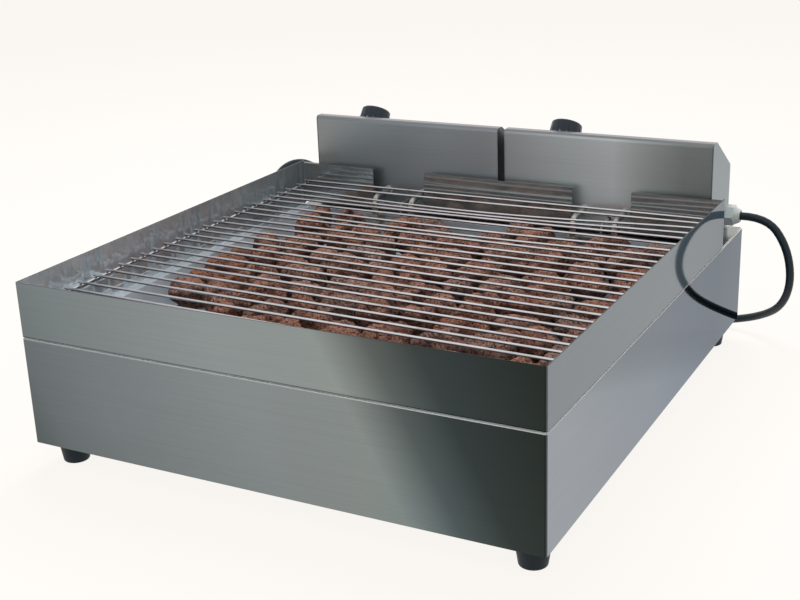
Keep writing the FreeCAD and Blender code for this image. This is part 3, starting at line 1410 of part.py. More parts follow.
def mains_plug(side, start, way):
    """Two-pin earthed plug: tapered neck, round body and pins."""
    neck = Part.makeCone(PLUG_NECK_RADIUS, PLUG_COLLAR_RADIUS, PLUG_NECK_LENGTH, start, way)
    body_start = start + way * PLUG_NECK_LENGTH
    shoulder = PLUG_LENGTH / 4
    flare = Part.makeCone(PLUG_COLLAR_RADIUS, PLUG_RADIUS, shoulder, body_start, way)
    body = cylinder(PLUG_RADIUS, PLUG_LENGTH - shoulder, body_start + way * shoulder, way)
    face = body_start + way * PLUG_LENGTH
    across = V(-way.y, way.x, 0)
    pins = []
    for end in (-1, 1):
        base = face + across * (end * PLUG_PIN_SPACING / 2)
        pins.append(cylinder(PLUG_PIN_RADIUS, PLUG_PIN_LENGTH, base, way))
    print("plug face", side, face, "way", way)
    return neck.fuse([flare, body]), pins


def main():
    os.makedirs("parts", exist_ok=True)
    export("lower_casing", [lower_casing()])
    export("base_plate", [base_plate()])
    export("back_panel", [back_panel()])
    export("feet", [foot(x, y) for x, y in foot_places()])
    export("foot_screws", [foot_screw(x, y) for x, y in foot_places()])
    export("rock_tray", [rock_tray()])
    export("cross_rail", [cross_rail()])
    export("rear_deck", [rear_deck()])
    export("upper_frame", [upper_frame()])
    export("frame_rear_wall", [frame_rear_wall()])
    export("grid_rests", grid_rests())
    export("grid_cross_rods", grid_cross_rods())
    export("grid_side_rods", grid_side_rods())
    export("element_supports", element_supports())
    export("leg_bushes", leg_bushes())
    export("leg_clamps", [leg_clamp(side) for side in (LEFT, RIGHT)])
    export("head_bases", [head_base(side) for side in (LEFT, RIGHT)])
    dials = [on_slope(dial_shape(), side * HEAD_CENTRE + KNOB_OFFSET) for side in (LEFT, RIGHT)]
    export("dial_rings", dials)
    export("terminal_blocks", [terminal_block(side) for side in (LEFT, RIGHT)])
    export("head_screws", head_screws())
    export("head_pads", head_pads())
    export("gland_locknuts", gland_locknuts())
    export("drawer_pan", [drawer_pan()])
    export("drawer_front", [drawer_front()])
    export("drawer_handle", [drawer_handle()])
    export("drawer_screws", drawer_screws())
    export("drawer_runners", drawer_runners())
    for name, side in SIDES.items():
        centre = side * HEAD_CENTRE
        export("heating_element_" + name, [heating_element(side)])
        export("thermostat_bulb_" + name, [thermostat_bulb(side)])
        export("head_shell_" + name, [drill_flanges(head_shell(side), side)])
        export("head_side_plates_" + name, head_side_plates(side))
        export("thermostat_" + name, [on_slope(thermostat_shape(), centre + KNOB_OFFSET)])
        export("knob_shaft_" + name, [on_slope(shaft_shape(), centre + KNOB_OFFSET)])
        export("knob_" + name, [on_slope(knob_shape(), centre + KNOB_OFFSET)])
        export("pilot_lamp_" + name, [on_slope(lamp_shape(), centre + LAMP_OFFSET)])
        export("cord_gland_" + name, cord_gland(side))
        export("head_leads_" + name, head_leads(side))
        cord = cord_edges(cord_route(side), "cord " + name)
        tube = pipe(cord, CORD_RADIUS)
        length = sum(edge.Length for edge in cord)
        ideal = math.pi * CORD_RADIUS ** 2 * length
        print("cord", name, "length", round(length), "volume check", round(tube.Volume / ideal, 4))
        export("mains_cord_" + name, [tube])
        coil = coil_edges(side)
        coil_length = sum(edge.Length for edge in coil)
        print("coil", name, "length", round(coil_length), "least self gap", round(least_self_gap(coil), 2))
        export("cord_coil_" + name, [pipe(coil, CORD_RADIUS)])
        last = coil[-1]
        end = last.valueAt(last.LastParameter)
        plug, pins = mains_plug(side, end, last.tangentAt(last.LastParameter))
        export("plug_" + name, [plug])
        export("plug_pins_" + name, pins)
    for name, solids in lava_rocks().items():
        export("lava_rocks_" + name, solids)
    print("knob axis", slope_point(HEAD_CENTRE + KNOB_OFFSET, 0), slope_normal())
    print("levels", "seam", Z_SEAM, "frame top", Z_FRAME_TOP, "floor", Z_FLOOR, "head", Z_HEAD, Z_HEAD_TOP)


main()
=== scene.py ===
"""Looks of the electric lava rock grill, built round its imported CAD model."""

import json
import math
import random
from functools import cached_property

import bmesh
import bpy
from bpy.props import FloatProperty, FloatVectorProperty, IntProperty, PointerProperty
from mathutils import Matrix, Vector, noise


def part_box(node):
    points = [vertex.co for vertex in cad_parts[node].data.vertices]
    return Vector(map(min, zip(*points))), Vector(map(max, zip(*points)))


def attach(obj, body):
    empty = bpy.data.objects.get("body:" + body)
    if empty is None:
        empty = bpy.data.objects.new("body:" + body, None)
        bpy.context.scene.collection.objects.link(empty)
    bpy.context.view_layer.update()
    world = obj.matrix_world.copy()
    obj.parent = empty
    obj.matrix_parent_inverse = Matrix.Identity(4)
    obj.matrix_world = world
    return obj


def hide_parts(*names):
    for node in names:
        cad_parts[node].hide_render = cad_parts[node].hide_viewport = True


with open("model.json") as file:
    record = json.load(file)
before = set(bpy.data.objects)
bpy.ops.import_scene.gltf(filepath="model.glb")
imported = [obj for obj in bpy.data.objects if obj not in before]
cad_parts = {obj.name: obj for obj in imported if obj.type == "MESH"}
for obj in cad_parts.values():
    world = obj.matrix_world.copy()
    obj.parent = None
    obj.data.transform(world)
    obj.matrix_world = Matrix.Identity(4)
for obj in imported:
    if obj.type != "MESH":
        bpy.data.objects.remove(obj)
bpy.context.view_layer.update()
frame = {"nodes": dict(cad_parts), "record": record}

bl_info = {
    "name": "Lava rock grill",
    "version": (1, 0, 0),
    "blender": (4, 5, 0),
    "location": "3D View > Sidebar > Grill",
    "description": "Dresses an electric lava rock grill: steel, rods, rocks, knobs and cords",
    "category": "Object",
}

MM = 0.001
LEFT, RIGHT = -1, 1
SIDES = {"left": LEFT, "right": RIGHT}
ROOT = "grill"
BEHAVIOUR = frame["record"]["behaviour"]
BODY_OF = {node: body for body, nodes in BEHAVIOUR["bodies"].items() for node in nodes}
SLOT_OF = {row["node"]: row["material_slot"] for row in frame["record"]["subparts"]}
JOINTS = {joint["name"]: joint for joint in BEHAVIOUR["joints"]}
ROCK_NODES = [node for node in BODY_OF if node.startswith("lava_rocks")]

# Places on the sheet metal, in metres
Y_FRONT = -0.35245
CASING_DEPTH = 0.674
SHEET = 0.0012
CASING_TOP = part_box("lower_casing")[1][2]
FRAME_LOW, FRAME_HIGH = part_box("upper_frame")
FRONT_SKIN = Y_FRONT + 0.003
SIDE_SKIN = FRAME_HIGH[0] - 0.0006
BAND_FOOT = FRAME_LOW[2] - 0.0002
TOP_EDGE = FRAME_HIGH[2] - 0.0142
WALL_FRONT = FRAME_HIGH[1] - 0.008
WALL_BACK = FRAME_HIGH[1] + 0.0015
ROLLED_EDGE = (CASING_TOP - 0.0016, CASING_TOP + SHEET)
SEAM_LINE = (CASING_TOP - 0.0009, CASING_TOP + 0.0001)
SEAM_SHADE = (FRAME_LOW[2] - 0.0006, FRAME_LOW[2] + SHEET)
HEAD_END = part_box("head_shell_right")[1][0]
HEAD_SEAM = (HEAD_END - 0.0005, HEAD_END + 0.0004)
HALF_HEAD_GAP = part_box("head_side_plates_right")[0][0] + 0.0005

# Cords, in metres: the coil behind the grill, the plug, and each route from the gland to the coil
COIL_BEHIND = 0.104
COIL_CENTRE_X = 0.150
COIL_INNER_RADIUS = 0.050
COIL_PITCH = 0.0107
COIL_TURNS_PER_LAYER = 1.5
COIL_FLARE = 0.012
COIL_LEAD_IN = 0.028
COIL_POINTS_PER_TURN = 16
COIL_CLIMB_QUARTERS = 2
PLUG_RADIUS = 0.019
GLAND_END = (0.303, Y_FRONT + 0.649, 0.1742)
RIGHT_ROUTE = (
    (0.336, 0.649, 0.176),
    (0.364, 0.643, 0.143),
    (0.374, 0.636, 0.100),
    (0.360, 0.657, 0.058),
    (0.328, 0.691, 0.029),
    (0.284, 0.709, 0.011),
    (0.236, 0.705, 0.005),
)
LEFT_ROUTE = (
    (-0.322, 0.649, 0.186),
    (-0.350, 0.650, 0.193),
    (-0.384, 0.655, 0.180),
    (-0.411, 0.665, 0.151),
    (-0.428, 0.678, 0.113),
    (-0.426, 0.696, 0.072),
    (-0.400, 0.712, 0.036),
    (-0.358, 0.722, 0.012),
    (-0.308, 0.723, 0.005),
    (-0.264, 0.721, 0.005),
    (-0.222, 0.714, 0.005),
)


# Sizes and colours that a user would change

def ColourProperty(name, description, default):
    return FloatVectorProperty(name=name, description=description, subtype="COLOR", default=default, min=0, max=1)


def LengthProperty(name, description, default, low, high):
    return FloatProperty(name=name, description=description, unit="LENGTH", default=default, min=low, max=high)


def AngleProperty(name, description, degrees):
    return FloatProperty(name=name, description=description, subtype="ANGLE", default=math.radians(degrees))


class GrillSizes(bpy.types.PropertyGroup):
    """Sizes of the dressed pieces."""

    cord_diameter: LengthProperty("Cord diameter", "Outer diameter of both mains cords", 0.010, 0.006, 0.014)
    left_cord_length: LengthProperty("Left cord length", "Left mains cord from gland to plug", 1.79, 1.0, 3.0)
    right_cord_length: LengthProperty("Right cord length", "Right mains cord from gland to plug", 1.67, 1.0, 3.0)
    sheet_edge: LengthProperty("Sheet edge", "Rounding of the sheet metal's cut edges", 0.0003, 0.0001, 0.001)
    rock_swell: LengthProperty("Rock swell", "How far the rocks stand out of their plain solids", 0.0008, 0.0, 0.004)
    rock_roughness: LengthProperty("Rock roughness", "Depth of the rocks' lumps and hollows", 0.0060, 0.0, 0.01)
    rock_seed: IntProperty(name="Rock seed", description="Seed of the rocks' lumps", default=3, min=0)


class GrillColours(bpy.types.PropertyGroup):
    """Colours of the finishes."""

    steel: ColourProperty("Steel", "Brushed stainless steel", (0.262, 0.283, 0.283))
    tray: ColourProperty("Tray steel", "Bluish sheet of the rock tray", (0.74, 0.84, 0.93))
    rods: ColourProperty("Rods", "Plated rods of the cooking grid", (0.70, 0.70, 0.75))
    # The light rock colour shows on the tops; the flanks are painted darker as shade, and the dark rock colour is
    # painted shade in the pores
    rock_light: ColourProperty("Light rock", "Dusty high places of the lava rocks", (0.50, 0.255, 0.185))
    rock_dark: ColourProperty("Dark rock", "Pores and shaded places of the lava rocks", (0.03, 0.017, 0.015))
    rock_grey: ColourProperty("Grey rock", "Greyish lumps among the lava rocks", (0.37, 0.25, 0.215))
    rock_red: ColourProperty("Red rock", "Warmer lumps among the lava rocks", (0.45, 0.19, 0.11))
    rubber: ColourProperty("Rubber", "Feet and cords", (0.007, 0.018, 0.026))
    plastic: ColourProperty("Knob plastic", "Black plastic of the knobs", (0.006, 0.016, 0.029))
    gland: ColourProperty("Gland plastic", "Whitish plastic of the cord glands", (0.76, 0.82, 0.83))


class GrillStage(bpy.types.PropertyGroup):
    """Camera, floor and lights."""

    azimuth: AngleProperty("Azimuth", "Camera's turn round the grill", 28.41)
    elevation: AngleProperty("Elevation", "Camera's height above the horizon", 19.43)
    roll: AngleProperty("Roll", "Camera's tilt about its own line of sight", -2.11)
    camera_place: FloatVectorProperty(
        name="Camera place", description="Where the camera stands",
        subtype="XYZ", unit="LENGTH", default=(0.6872, -1.32625, 0.6464))
    lens: FloatProperty(
        name="Lens", description="Focal length in millimetres on a 36 mm sensor", default=59.62, min=10, max=300)
    floor_colour: ColourProperty("Floor", "Floor and backdrop", (0.983, 0.956, 0.922))
    key_power: FloatProperty(
        name="Key light", description="Power of the large soft light, in watts", default=60.0, min=0)
    fill_strength: FloatProperty(
        name="Fill light", description="Strength of the light from all round", default=0.35, min=0)


# Shader nodes

def shade(colour, share):
    """Colour made darker or lighter by a share."""
    return [min(1.0, share * part) for part in colour]


class Nodes:
    """A tree of shader nodes, with short calls that make and link them."""

    def __init__(self, tree):
        self.tree = tree

    def feed(self, value, target):
        """Link a socket to an input, or set the input to a number or a colour."""
        if isinstance(value, bpy.types.NodeSocket):
            self.tree.links.new(value, target)
        elif isinstance(value, (int, float)):
            target.default_value = value
        else:
            target.default_value = (*value, 1)[:len(target.default_value)]

    def node(self, kind, **values):
        """New node; each value goes to the input of its name, or else to the node's own setting."""
        made = self.tree.nodes.new("ShaderNode" + kind)
        for key, value in values.items():
            name = key.replace("_", " ")
            if name in made.inputs:
                self.feed(value, made.inputs[name])
            else:
                setattr(made, key, value)
        return made

    def fed(self, made, output, values):
        """One output of a node whose numbered inputs take these values."""
        for number, value in values.items():
            self.feed(value, made.inputs[number])
        return made.outputs[output]

    def maths(self, operation, first, second=0.0):
        return self.fed(self.node("Math", operation=operation), 0, {0: first, 1: second})

    def mix(self, factor, first, second, blend="MIX"):
        """Two colours mixed; a colour is a socket or three numbers."""
        made = self.node("Mix", data_type="RGBA", blend_type=blend)
        return self.fed(made, 2, {0: factor, 6: first, 7: second})

    def mix_numbers(self, factor, first, second):
        made = self.node("Mix", data_type="FLOAT")
        return self.fed(made, 0, {0: factor, 2: first, 3: second})

    def times(self, first, second):
        """Two colours multiplied."""
        return self.mix(1.0, first, second, "MULTIPLY")

    def span(self, value, low, high, to_low=0.0, to_high=1.0):
        """Value rescaled from one range to another, clamped."""
        made = self.node("MapRange", Value=value, From_Min=low, From_Max=high, To_Min=to_low, To_Max=to_high)
        return made.outputs["Result"]

    def ramp(self, factor, stops):
        """Colour ramp with (position, colour) stops; a colour may be one number."""
        made = self.node("ValToRGB", Fac=factor)
        elements = made.color_ramp.elements
        while len(elements) < len(stops):
            elements.new(0.5)
        for element, (position, colour) in zip(elements, stops):
            element.position = position
            colour = (colour,) * 3 if isinstance(colour, (int, float)) else tuple(colour)
            element.color = colour + (1,)
        return made.outputs["Color"]

    def fade(self, value, low, high, stops):
        """Colour ramp laid over a range of the value."""
        return self.ramp(self.span(value, low, high), stops)

    def seen(self):
        """1 for what is seen straight, in a mirror or through something clear."""
        rays = self.node("LightPath").outputs
        straight = self.maths("MAXIMUM", rays["Is Camera Ray"], rays["Is Glossy Ray"])
        return self.maths("MAXIMUM", straight, rays["Is Transmission Ray"])


# Every finish by its slot
FINISHES = {}


class Finish(Nodes):
    """A material under construction, kept by its name."""

    def __init__(self, name):
        FINISHES[name] = material = bpy.data.materials.new(name)
        material.use_nodes = True
        super().__init__(material.node_tree)
        self.shader = self.tree.nodes["Principled BSDF"]
        self.coordinates = self.node("TexCoord").outputs

    @cached_property
    def at(self):
        """X, Y and Z of the place on the object."""
        return self.node("SeparateXYZ", Vector=self.coordinates["Object"]).outputs

    @cached_property
    def normal(self):
        """X, Y and Z of the surface's own direction, in the object's frame."""
        return self.node("SeparateXYZ", Vector=self.coordinates["Normal"]).outputs

    def noise(self, scale, detail=3.0, roughness=0.5, stretch=(1, 1, 1)):
        """Soft random pattern over the object."""
        place = self.node("Mapping", Vector=self.coordinates["Object"], Scale=stretch).outputs["Vector"]
        made = self.node("TexNoise", Vector=place, Scale=scale, Detail=detail, Roughness=roughness)
        return made.outputs["Fac"]

    def blotches(self, scale):
        """Coarser pattern of stains and dust."""
        return self.noise(scale, detail=4.0, roughness=0.6)

    def bump(self, height, strength, distance):
        made = self.node("Bump", Height=height, Strength=strength, Distance=distance)
        self.set(Normal=made.outputs["Normal"])

    def set(self, **values):
        """Give the surface its looks."""
        for key, value in values.items():
            self.feed(value, self.shader.inputs[key.replace("_", " ")])


class Steel(Finish):
    """Brushed stainless sheet whose looks differ from face to face."""

    def __init__(self, name, colour, rough, metal=1.0):
        super().__init__(name)
        grain = self.noise(1.0, detail=2.0, stretch=(5, 5, 1100))
        cloud = self.noise(4.0)
        base = self.mix(self.span(grain, 0.3, 0.7), shade(colour, 0.96), shade(colour, 1.04))
        base = self.mix(self.span(cloud, 0.35, 0.7, 0, 0.18), base, shade(colour, 0.8))
        self.colours = {"Base_Color": base, "Specular_Tint": (1, 1, 1)}
        self.numbers = {"Roughness": rough, "Metallic": metal, "Specular_IOR_Level": 0.5}

    def facing(self, axis, way=1, low=0.7, high=0.95):
        """1 where the surface faces along an axis, 0 elsewhere."""
        return self.span(self.maths("MULTIPLY", self.normal[axis], float(way)), low, high)

    def above(self, value, low):
        return self.maths("GREATER_THAN", value, low)

    def between(self, value, low, high):
        """1 between two bounds, 0 outside them."""
        return self.both(self.above(value, low), self.maths("LESS_THAN", value, high))

    def both(self, *masks):
        """1 where every mask is 1."""
        result = masks[0]
        for mask in masks[1:]:
            result = self.maths("MULTIPLY", result, mask)
        return result

    def without(self, mask):
        """1 where the mask is 0."""
        return self.maths("SUBTRACT", 1.0, mask)

    def size(self, value):
        return self.maths("ABSOLUTE", value)

    def where(self, mask, **looks):
        """Change some of the looks where the mask is 1."""
        for look, value in looks.items():
            if look in self.colours:
                self.colours[look] = self.mix(mask, self.colours[look], value)
            else:
                self.numbers[look] = self.mix_numbers(mask, self.numbers[look], value)

    def tone(self, mask, *colours):
        """Multiply the base by each colour where the mask is 1."""
        for colour in colours:
            self.where(mask, Base_Color=self.times(self.colours["Base_Color"], colour))

    def finish(self):
        self.set(**self.colours, **self.numbers)


# Finishes

# Painted reflection on the plain front from left to right, brightest past the middle and dark at the right end
FRONT_PAINTED_REFLECTION = [(0.0, 0.34), (0.05, 0.44), (0.1, 0.57), (0.2, 0.69), (0.5, 0.92), (0.68, 0.95),
               (0.762, 0.4), (0.837, 0.19), (1.0, 0.11)]
# Tints of the painted reflection across the front, from left to right
FRONT_REFLECTION_TINTS = [(0.0, (0.93, 1.0, 1.06)), (0.5, (0.97, 1.01, 1.04)), (0.7, (0.98, 1.02, 1.0)),
               (0.85, (0.76, 0.92, 0.95)), (1.0, (0.71, 0.84, 0.76))]
# How far the painted reflection slants up the front
FRONT_SLANT = 0.53
# Painted reflection on the casing's right side, up its slanting streak and then darker towards the rear, and its
# painted sheen
SIDE_REFLECTION_STREAK = [(0.0, (0.97, 1.03, 1.18)), (0.2, (0.90, 0.97, 1.12)), (0.33, (0.64, 0.72, 0.84)),
               (0.46, (0.50, 0.575, 0.69)), (1.0, (0.46, 0.54, 0.65))]
SIDE_REAR_SHADE = [(0.0, 1.0), (0.3, (0.86, 0.88, 0.91)), (0.46, (0.83, 0.86, 0.92)), (0.61, (0.70, 0.76, 0.85)),
              (0.77, (0.62, 0.69, 0.77)), (1.0, (0.58, 0.65, 0.75))]
SIDE_SHEEN = [(0.0, (0.95, 0.95, 0.96)), (1.0, (0.72, 0.74, 0.77))]
SIDE_SLANT = 3.1
# Tones and shine of painted reflection on the frame's right side towards the rear
BAND_PAINTED_REFLECTION = [(0.0, (1.2, 1.4, 1.7)), (0.5, (0.9, 1.15, 1.42)), (1.0, (0.72, 1.0, 1.36))]
BAND_SHINE = [(0.0, 0.4), (0.5, 0.3), (1.0, 0.1)]
# Painted light on the inner walls, lighter at the front
WELL_PAINTED_LIGHT = [(0.0, (2.8, 2.8, 2.95)), (1.0, (1.3, 1.4, 1.5))]
# Painted highlight along the seam line, brighter to the right
SEAM_GLEAM = [(0.0, 0.3), (0.6, 0.5), (0.8, 0.95)]
# Painted light on the heads' fronts from left to right
HEAD_PAINTED_LIGHT = [(0.02, (1.05, 1.05, 1.05)), (0.13, (1.08, 1.13, 1.22)), (0.24, (1.14, 1.2, 1.32)),
              (0.35, (1.34, 1.4, 1.5)), (0.46, (1.36, 1.4, 1.5)), (0.54, (1.8, 1.8, 1.9)),
              (0.66, (2.3, 2.4, 2.5)), (0.77, (2.7, 2.75, 2.85)), (0.82, (2.1, 2.15, 2.2)),
              (0.87, (1.6, 1.65, 1.68)), (0.93, (1.15, 1.2, 1.2)), (1.0, (0.98, 1.04, 1.0))]
# Painted shade on the rods from the left wall to the middle
ROD_PAINTED_SHADE = [(0.0, 1.0), (0.046, 1.0), (0.07, 0.5), (0.4, 0.74), (1.0, 1.0)]
# Colour and roughness of the small metal pieces
PLAIN_METALS = {
    "handle_steel": ((0.5, 0.5, 0.5), 0.22),
    "screw_steel": ((0.55, 0.55, 0.54), 0.3),
    "copper": ((0.62, 0.56, 0.50), 0.3),
    "dial_aluminium": ((0.68, 0.69, 0.7), 0.35),
    "pin_brass": ((0.66, 0.6, 0.42), 0.2),
}
# Scale of the rocks' pores, and the distances over which a pore ends
PORES = ((300.0, 0.16, 0.35), (580.0, 0.18, 0.37))


def casing_finish(colour):
    """Casing and frame: painted reflection darkens the front to its right end, the right side mirrors with painted
    reflection tones, the inside is dull and painted lighter, with painted highlights and shade at the seam.
    """
    steel = Steel("body_steel", colour, rough=0.22)
    x, y, z = (steel.at[axis] for axis in "XYZ")
    band = steel.above(z, BAND_FOOT)
    outer = steel.above(steel.size(x), SIDE_SKIN)
    top_edge = steel.both(steel.above(z, TOP_EDGE), steel.facing("Z", low=0.15, high=0.4))
    front = steel.both(steel.facing("Y", -1), steel.between(y, -1.0, FRONT_SKIN))
    side = steel.both(steel.facing("X"), outer)
    inner = steel.both(band, steel.without(top_edge), steel.without(outer))

    # Painted reflection darkens the front towards its right end; the frame's band on the front is painted a little
    # lighter; the top edge is painted darker as shade, and its front strip also takes the front's painted reflection
    painted_reflection = steel.fade(steel.maths("ADD", x, steel.maths("MULTIPLY", z, FRONT_SLANT)), -0.30, 0.40, FRONT_PAINTED_REFLECTION)
    steel.where(front, Roughness=0.2)
    steel.tone(front, painted_reflection, steel.fade(x, -0.3, 0.3, FRONT_REFLECTION_TINTS))
    steel.tone(steel.both(front, band), (1.14, 1.14, 1.12))
    steel.tone(top_edge, (0.36, 0.37, 0.38))
    steel.tone(steel.both(top_edge, steel.between(y, -1.0, Y_FRONT + SHEET)), painted_reflection)

    lower = steel.both(side, steel.without(band))
    upper = steel.both(side, band)
    # Painted reflection on the right side: a bright slanting streak, darker towards the rear, with its painted sheen
    # dimming towards the rear; the frame's band above takes bluish painted reflection tones and shine
    streak = steel.maths("ADD", y, steel.maths("MULTIPLY", z, SIDE_SLANT))
    steel.where(side, Roughness=0.045)
    steel.tone(lower, steel.fade(streak, 0.10, 0.60, SIDE_REFLECTION_STREAK), steel.fade(y, -0.34, 0.32, SIDE_REAR_SHADE))
    steel.where(lower, Specular_Tint=steel.fade(y, -0.3, 0.2, SIDE_SHEEN))
    steel.tone(upper, steel.fade(y, -0.35, 0.24, BAND_PAINTED_REFLECTION))
    steel.where(upper, Metallic=0.12, Specular_IOR_Level=steel.fade(y, -0.35, 0.24, BAND_SHINE))

    well = steel.both(inner, steel.between(y, Y_FRONT + 0.0008, WALL_FRONT))
    rear_wall = steel.both(inner, steel.between(y, WALL_FRONT, WALL_BACK))
    # Painted light: the inner walls lighter towards the front, and the rear wall painted lighter
    steel.tone(well, steel.fade(y, -0.35, 0.2, WELL_PAINTED_LIGHT))
    steel.where(well, Roughness=0.24, Metallic=0.55)
    steel.tone(rear_wall, (1.45, 1.5, 1.52))
    steel.where(rear_wall, Roughness=0.085, Metallic=0.7)
    waves = steel.noise(1.0, detail=2.0, stretch=(1, 26, 7))
    steel.bump(steel.maths("MULTIPLY", waves, well), strength=1.0, distance=0.022)

    rolled_edge_highlight = steel.both(steel.between(z, *ROLLED_EDGE), steel.facing("Z", low=0.05, high=0.3))
    sideways = steel.span(steel.size(steel.normal["X"]), 0.1, 0.35)
    corner = steel.both(sideways, steel.facing("Y", -1, low=0.1, high=0.35))
    seam = steel.both(steel.between(z, *SEAM_LINE), steel.maths("MAXIMUM", side, front))
    gleam = steel.both(seam, steel.fade(x, -0.3, 0.3, SEAM_GLEAM))
    # Painted highlight on the rolled edge and along the seam line; painted shade on the front at the frame's bottom
    # edge and on the front's rounded corners
    steel.where(rolled_edge_highlight, Base_Color=(0.93, 0.93, 0.9), Metallic=0.2)
    steel.tone(steel.both(front, steel.between(z, *SEAM_SHADE)), (0.42, 0.42, 0.42))
    steel.tone(corner, (0.3, 0.3, 0.3))
    steel.where(gleam, Base_Color=(0.93, 0.94, 0.95), Metallic=0.2)
    steel.finish()


def head_finish(colour):
    """Heads: a duller front with painted light that lightens it to the right, tops painted lighter, painted shade on
    the bends, along the seams and in the gap between them, and a cooler painted shade on the ends.
    """
    steel = Steel("head_steel", colour, rough=0.3, metal=0.9)
    x = steel.at["X"]
    front = steel.facing("Y", -1)
    bend = steel.both(steel.facing("Y", -1, low=0.05, high=0.3), steel.facing("Z", low=0.05, high=0.3))
    endwise = steel.above(steel.size(steel.normal["X"]), 0.7)
    gap = steel.both(endwise, steel.between(x, -HALF_HEAD_GAP, HALF_HEAD_GAP))
    seam = steel.both(front, steel.between(steel.size(x), *HEAD_SEAM))
    steel.where(front, Roughness=0.46)
    # Painted light and shade: fronts lighter to the right, bends darker, tops lighter, ends darker and cooler, the
    # faces in the gap and the seams darker
    steel.tone(front, steel.fade(x, -0.285, 0.285, HEAD_PAINTED_LIGHT))
    steel.tone(bend, (0.72, 0.72, 0.76))
    steel.tone(steel.facing("Z"), (1.05, 1.02, 1.08))
    steel.tone(steel.facing("X"), (0.72, 0.86, 0.98))
    steel.tone(gap, (0.3, 0.3, 0.28))
    steel.tone(seam, (0.45, 0.45, 0.45))
    steel.finish()


def tray_finish(colour):
    """Tray sheet, duller, with heat stains, its sloped faces painted darker as shade than its flat ones."""
    finish = Finish("tray_steel")
    cloud = finish.noise(14.0, detail=5.0, roughness=0.6)
    fine = finish.noise(120.0)
    stain = finish.ramp(cloud, [(0.35, colour), (0.62, shade(colour, 0.8)), (0.8, (0.20, 0.13, 0.08))])
    # Painted shade: sloped faces darker than flat ones
    flat = finish.fade(finish.normal["Z"], 0.6, 0.98, [(0.0, 0.8), (1.0, 1.0)])
    finish.set(Base_Color=finish.times(stain, flat), Metallic=0.35)
    finish.set(Roughness=finish.span(fine, 0.3, 0.7, 0.3, 0.46))
    finish.bump(cloud, strength=0.08, distance=0.002)


def rod_finish(colour):
    """Bright plated wire with faint browning, with painted shade at the left and painted shade underneath."""
    finish = Finish("grid_chrome")
    blotch = finish.blotches(30.0)
    base = finish.ramp(blotch, [(0.3, colour), (0.6, shade(colour, 0.86)), (0.85, (0.36, 0.30, 0.25))])
    # Painted shade on the rods towards the left wall and on their undersides
    rod_shade = finish.fade(finish.at["X"], -0.3, 0.05, ROD_PAINTED_SHADE)
    under = finish.fade(finish.normal["Z"], -0.3, 0.45, [(0.0, 0.3), (1.0, 1.0)])
    finish.set(Base_Color=finish.times(finish.times(base, rod_shade), under), Metallic=1.0)
    finish.set(Roughness=finish.span(blotch, 0.3, 0.8, 0.16, 0.3))


def rock_finish(colours):
    """Porous lava: reddish brown, with painted shade in its pores and on its flanks so that the tops look lit, each
    lump its own tone.
    """
    finish = Finish("lava_rock")
    lump = finish.node("NewGeometry").outputs["Random Per Island"]
    broad = finish.blotches(42.0)
    patch = finish.noise(110.0, roughness=0.6)
    fine = finish.noise(520.0, detail=4.0, roughness=0.7)
    grain = finish.noise(800.0, roughness=0.7)
    holes = []
    for scale, low, high in PORES:
        cells = finish.node("TexVoronoi", Vector=finish.coordinates["Object"], Scale=scale, Randomness=1.0)
        holes.append(finish.span(cells.outputs["Distance"], low, high))
    small = finish.maths("MAXIMUM", holes[1], finish.span(patch, 0.4, 0.6))
    pores = finish.maths("MULTIPLY", holes[0], small)
    body = finish.mix(finish.span(broad, 0.38, 0.64), colours.rock_light, shade(colours.rock_light, 0.5))
    body = finish.mix(finish.span(lump, 0.55, 1.0, 0, 0.85), body, colours.rock_grey)
    body = finish.mix(finish.span(lump, 0.0, 0.3, 0.5, 0.0), body, colours.rock_red)
    speck = finish.ramp(grain, [(0.36, (0.5, 0.5, 0.52)), (0.5, (1.0, 1.0, 1.0)), (0.66, (1.5, 1.42, 1.4))])
    body = finish.times(body, speck)
    # Painted shade on the flanks, so that the tops look lit
    dust_and_top_light = finish.span(finish.normal["Z"], 0.05, 0.8)
    body = finish.mix(dust_and_top_light, finish.times(body, (0.42, 0.41, 0.43)), body)
    # Painted shade in the pores
    depth = finish.maths("MULTIPLY", pores, finish.span(fine, 0.34, 0.5))
    finish.set(Base_Color=finish.mix(depth, colours.rock_dark, body), Roughness=0.95, Specular_IOR_Level=0.15)
    height = finish.maths("ADD", finish.maths("MULTIPLY", pores, 0.7), finish.maths("MULTIPLY", fine, 0.7))
    finish.bump(height, strength=1.0, distance=0.0034)


def rubber_finish(name, colour, rough):
    """Moulded rubber with a fine matt skin and dust."""
    finish = Finish(name)
    skin = finish.noise(900.0, detail=2.0)
    dust = finish.blotches(45.0)
    # Dust, a little lighter than the rubber
    dust_and_top_light = [part + 0.03 for part in colour]
    finish.set(Base_Color=finish.mix(finish.span(dust, 0.45, 0.8, 0, 0.35), colour, dust_and_top_light))
    finish.set(Roughness=finish.span(dust, 0.3, 0.8, rough * 0.85, rough * 1.2), Specular_IOR_Level=0.3)
    finish.bump(skin, strength=0.12, distance=0.0002)


def plastic_finish(name, colour, rough, clear=0.0, shine=0.5):
    """Moulded plastic with a faint orange-peel skin; clear lets light into it."""
    finish = Finish(name)
    skin = finish.noise(420.0, detail=2.0)
    tint = finish.noise(60.0)
    finish.set(Base_Color=finish.mix(finish.span(tint, 0.3, 0.7), shade(colour, 0.9), shade(colour, 1.06)))
    finish.set(Roughness=finish.span(tint, 0.3, 0.7, rough * 0.85, rough * 1.15))
    finish.set(Specular_IOR_Level=shine, Subsurface_Weight=clear, Subsurface_Scale=0.004)
    finish.bump(skin, strength=0.06, distance=0.0002)


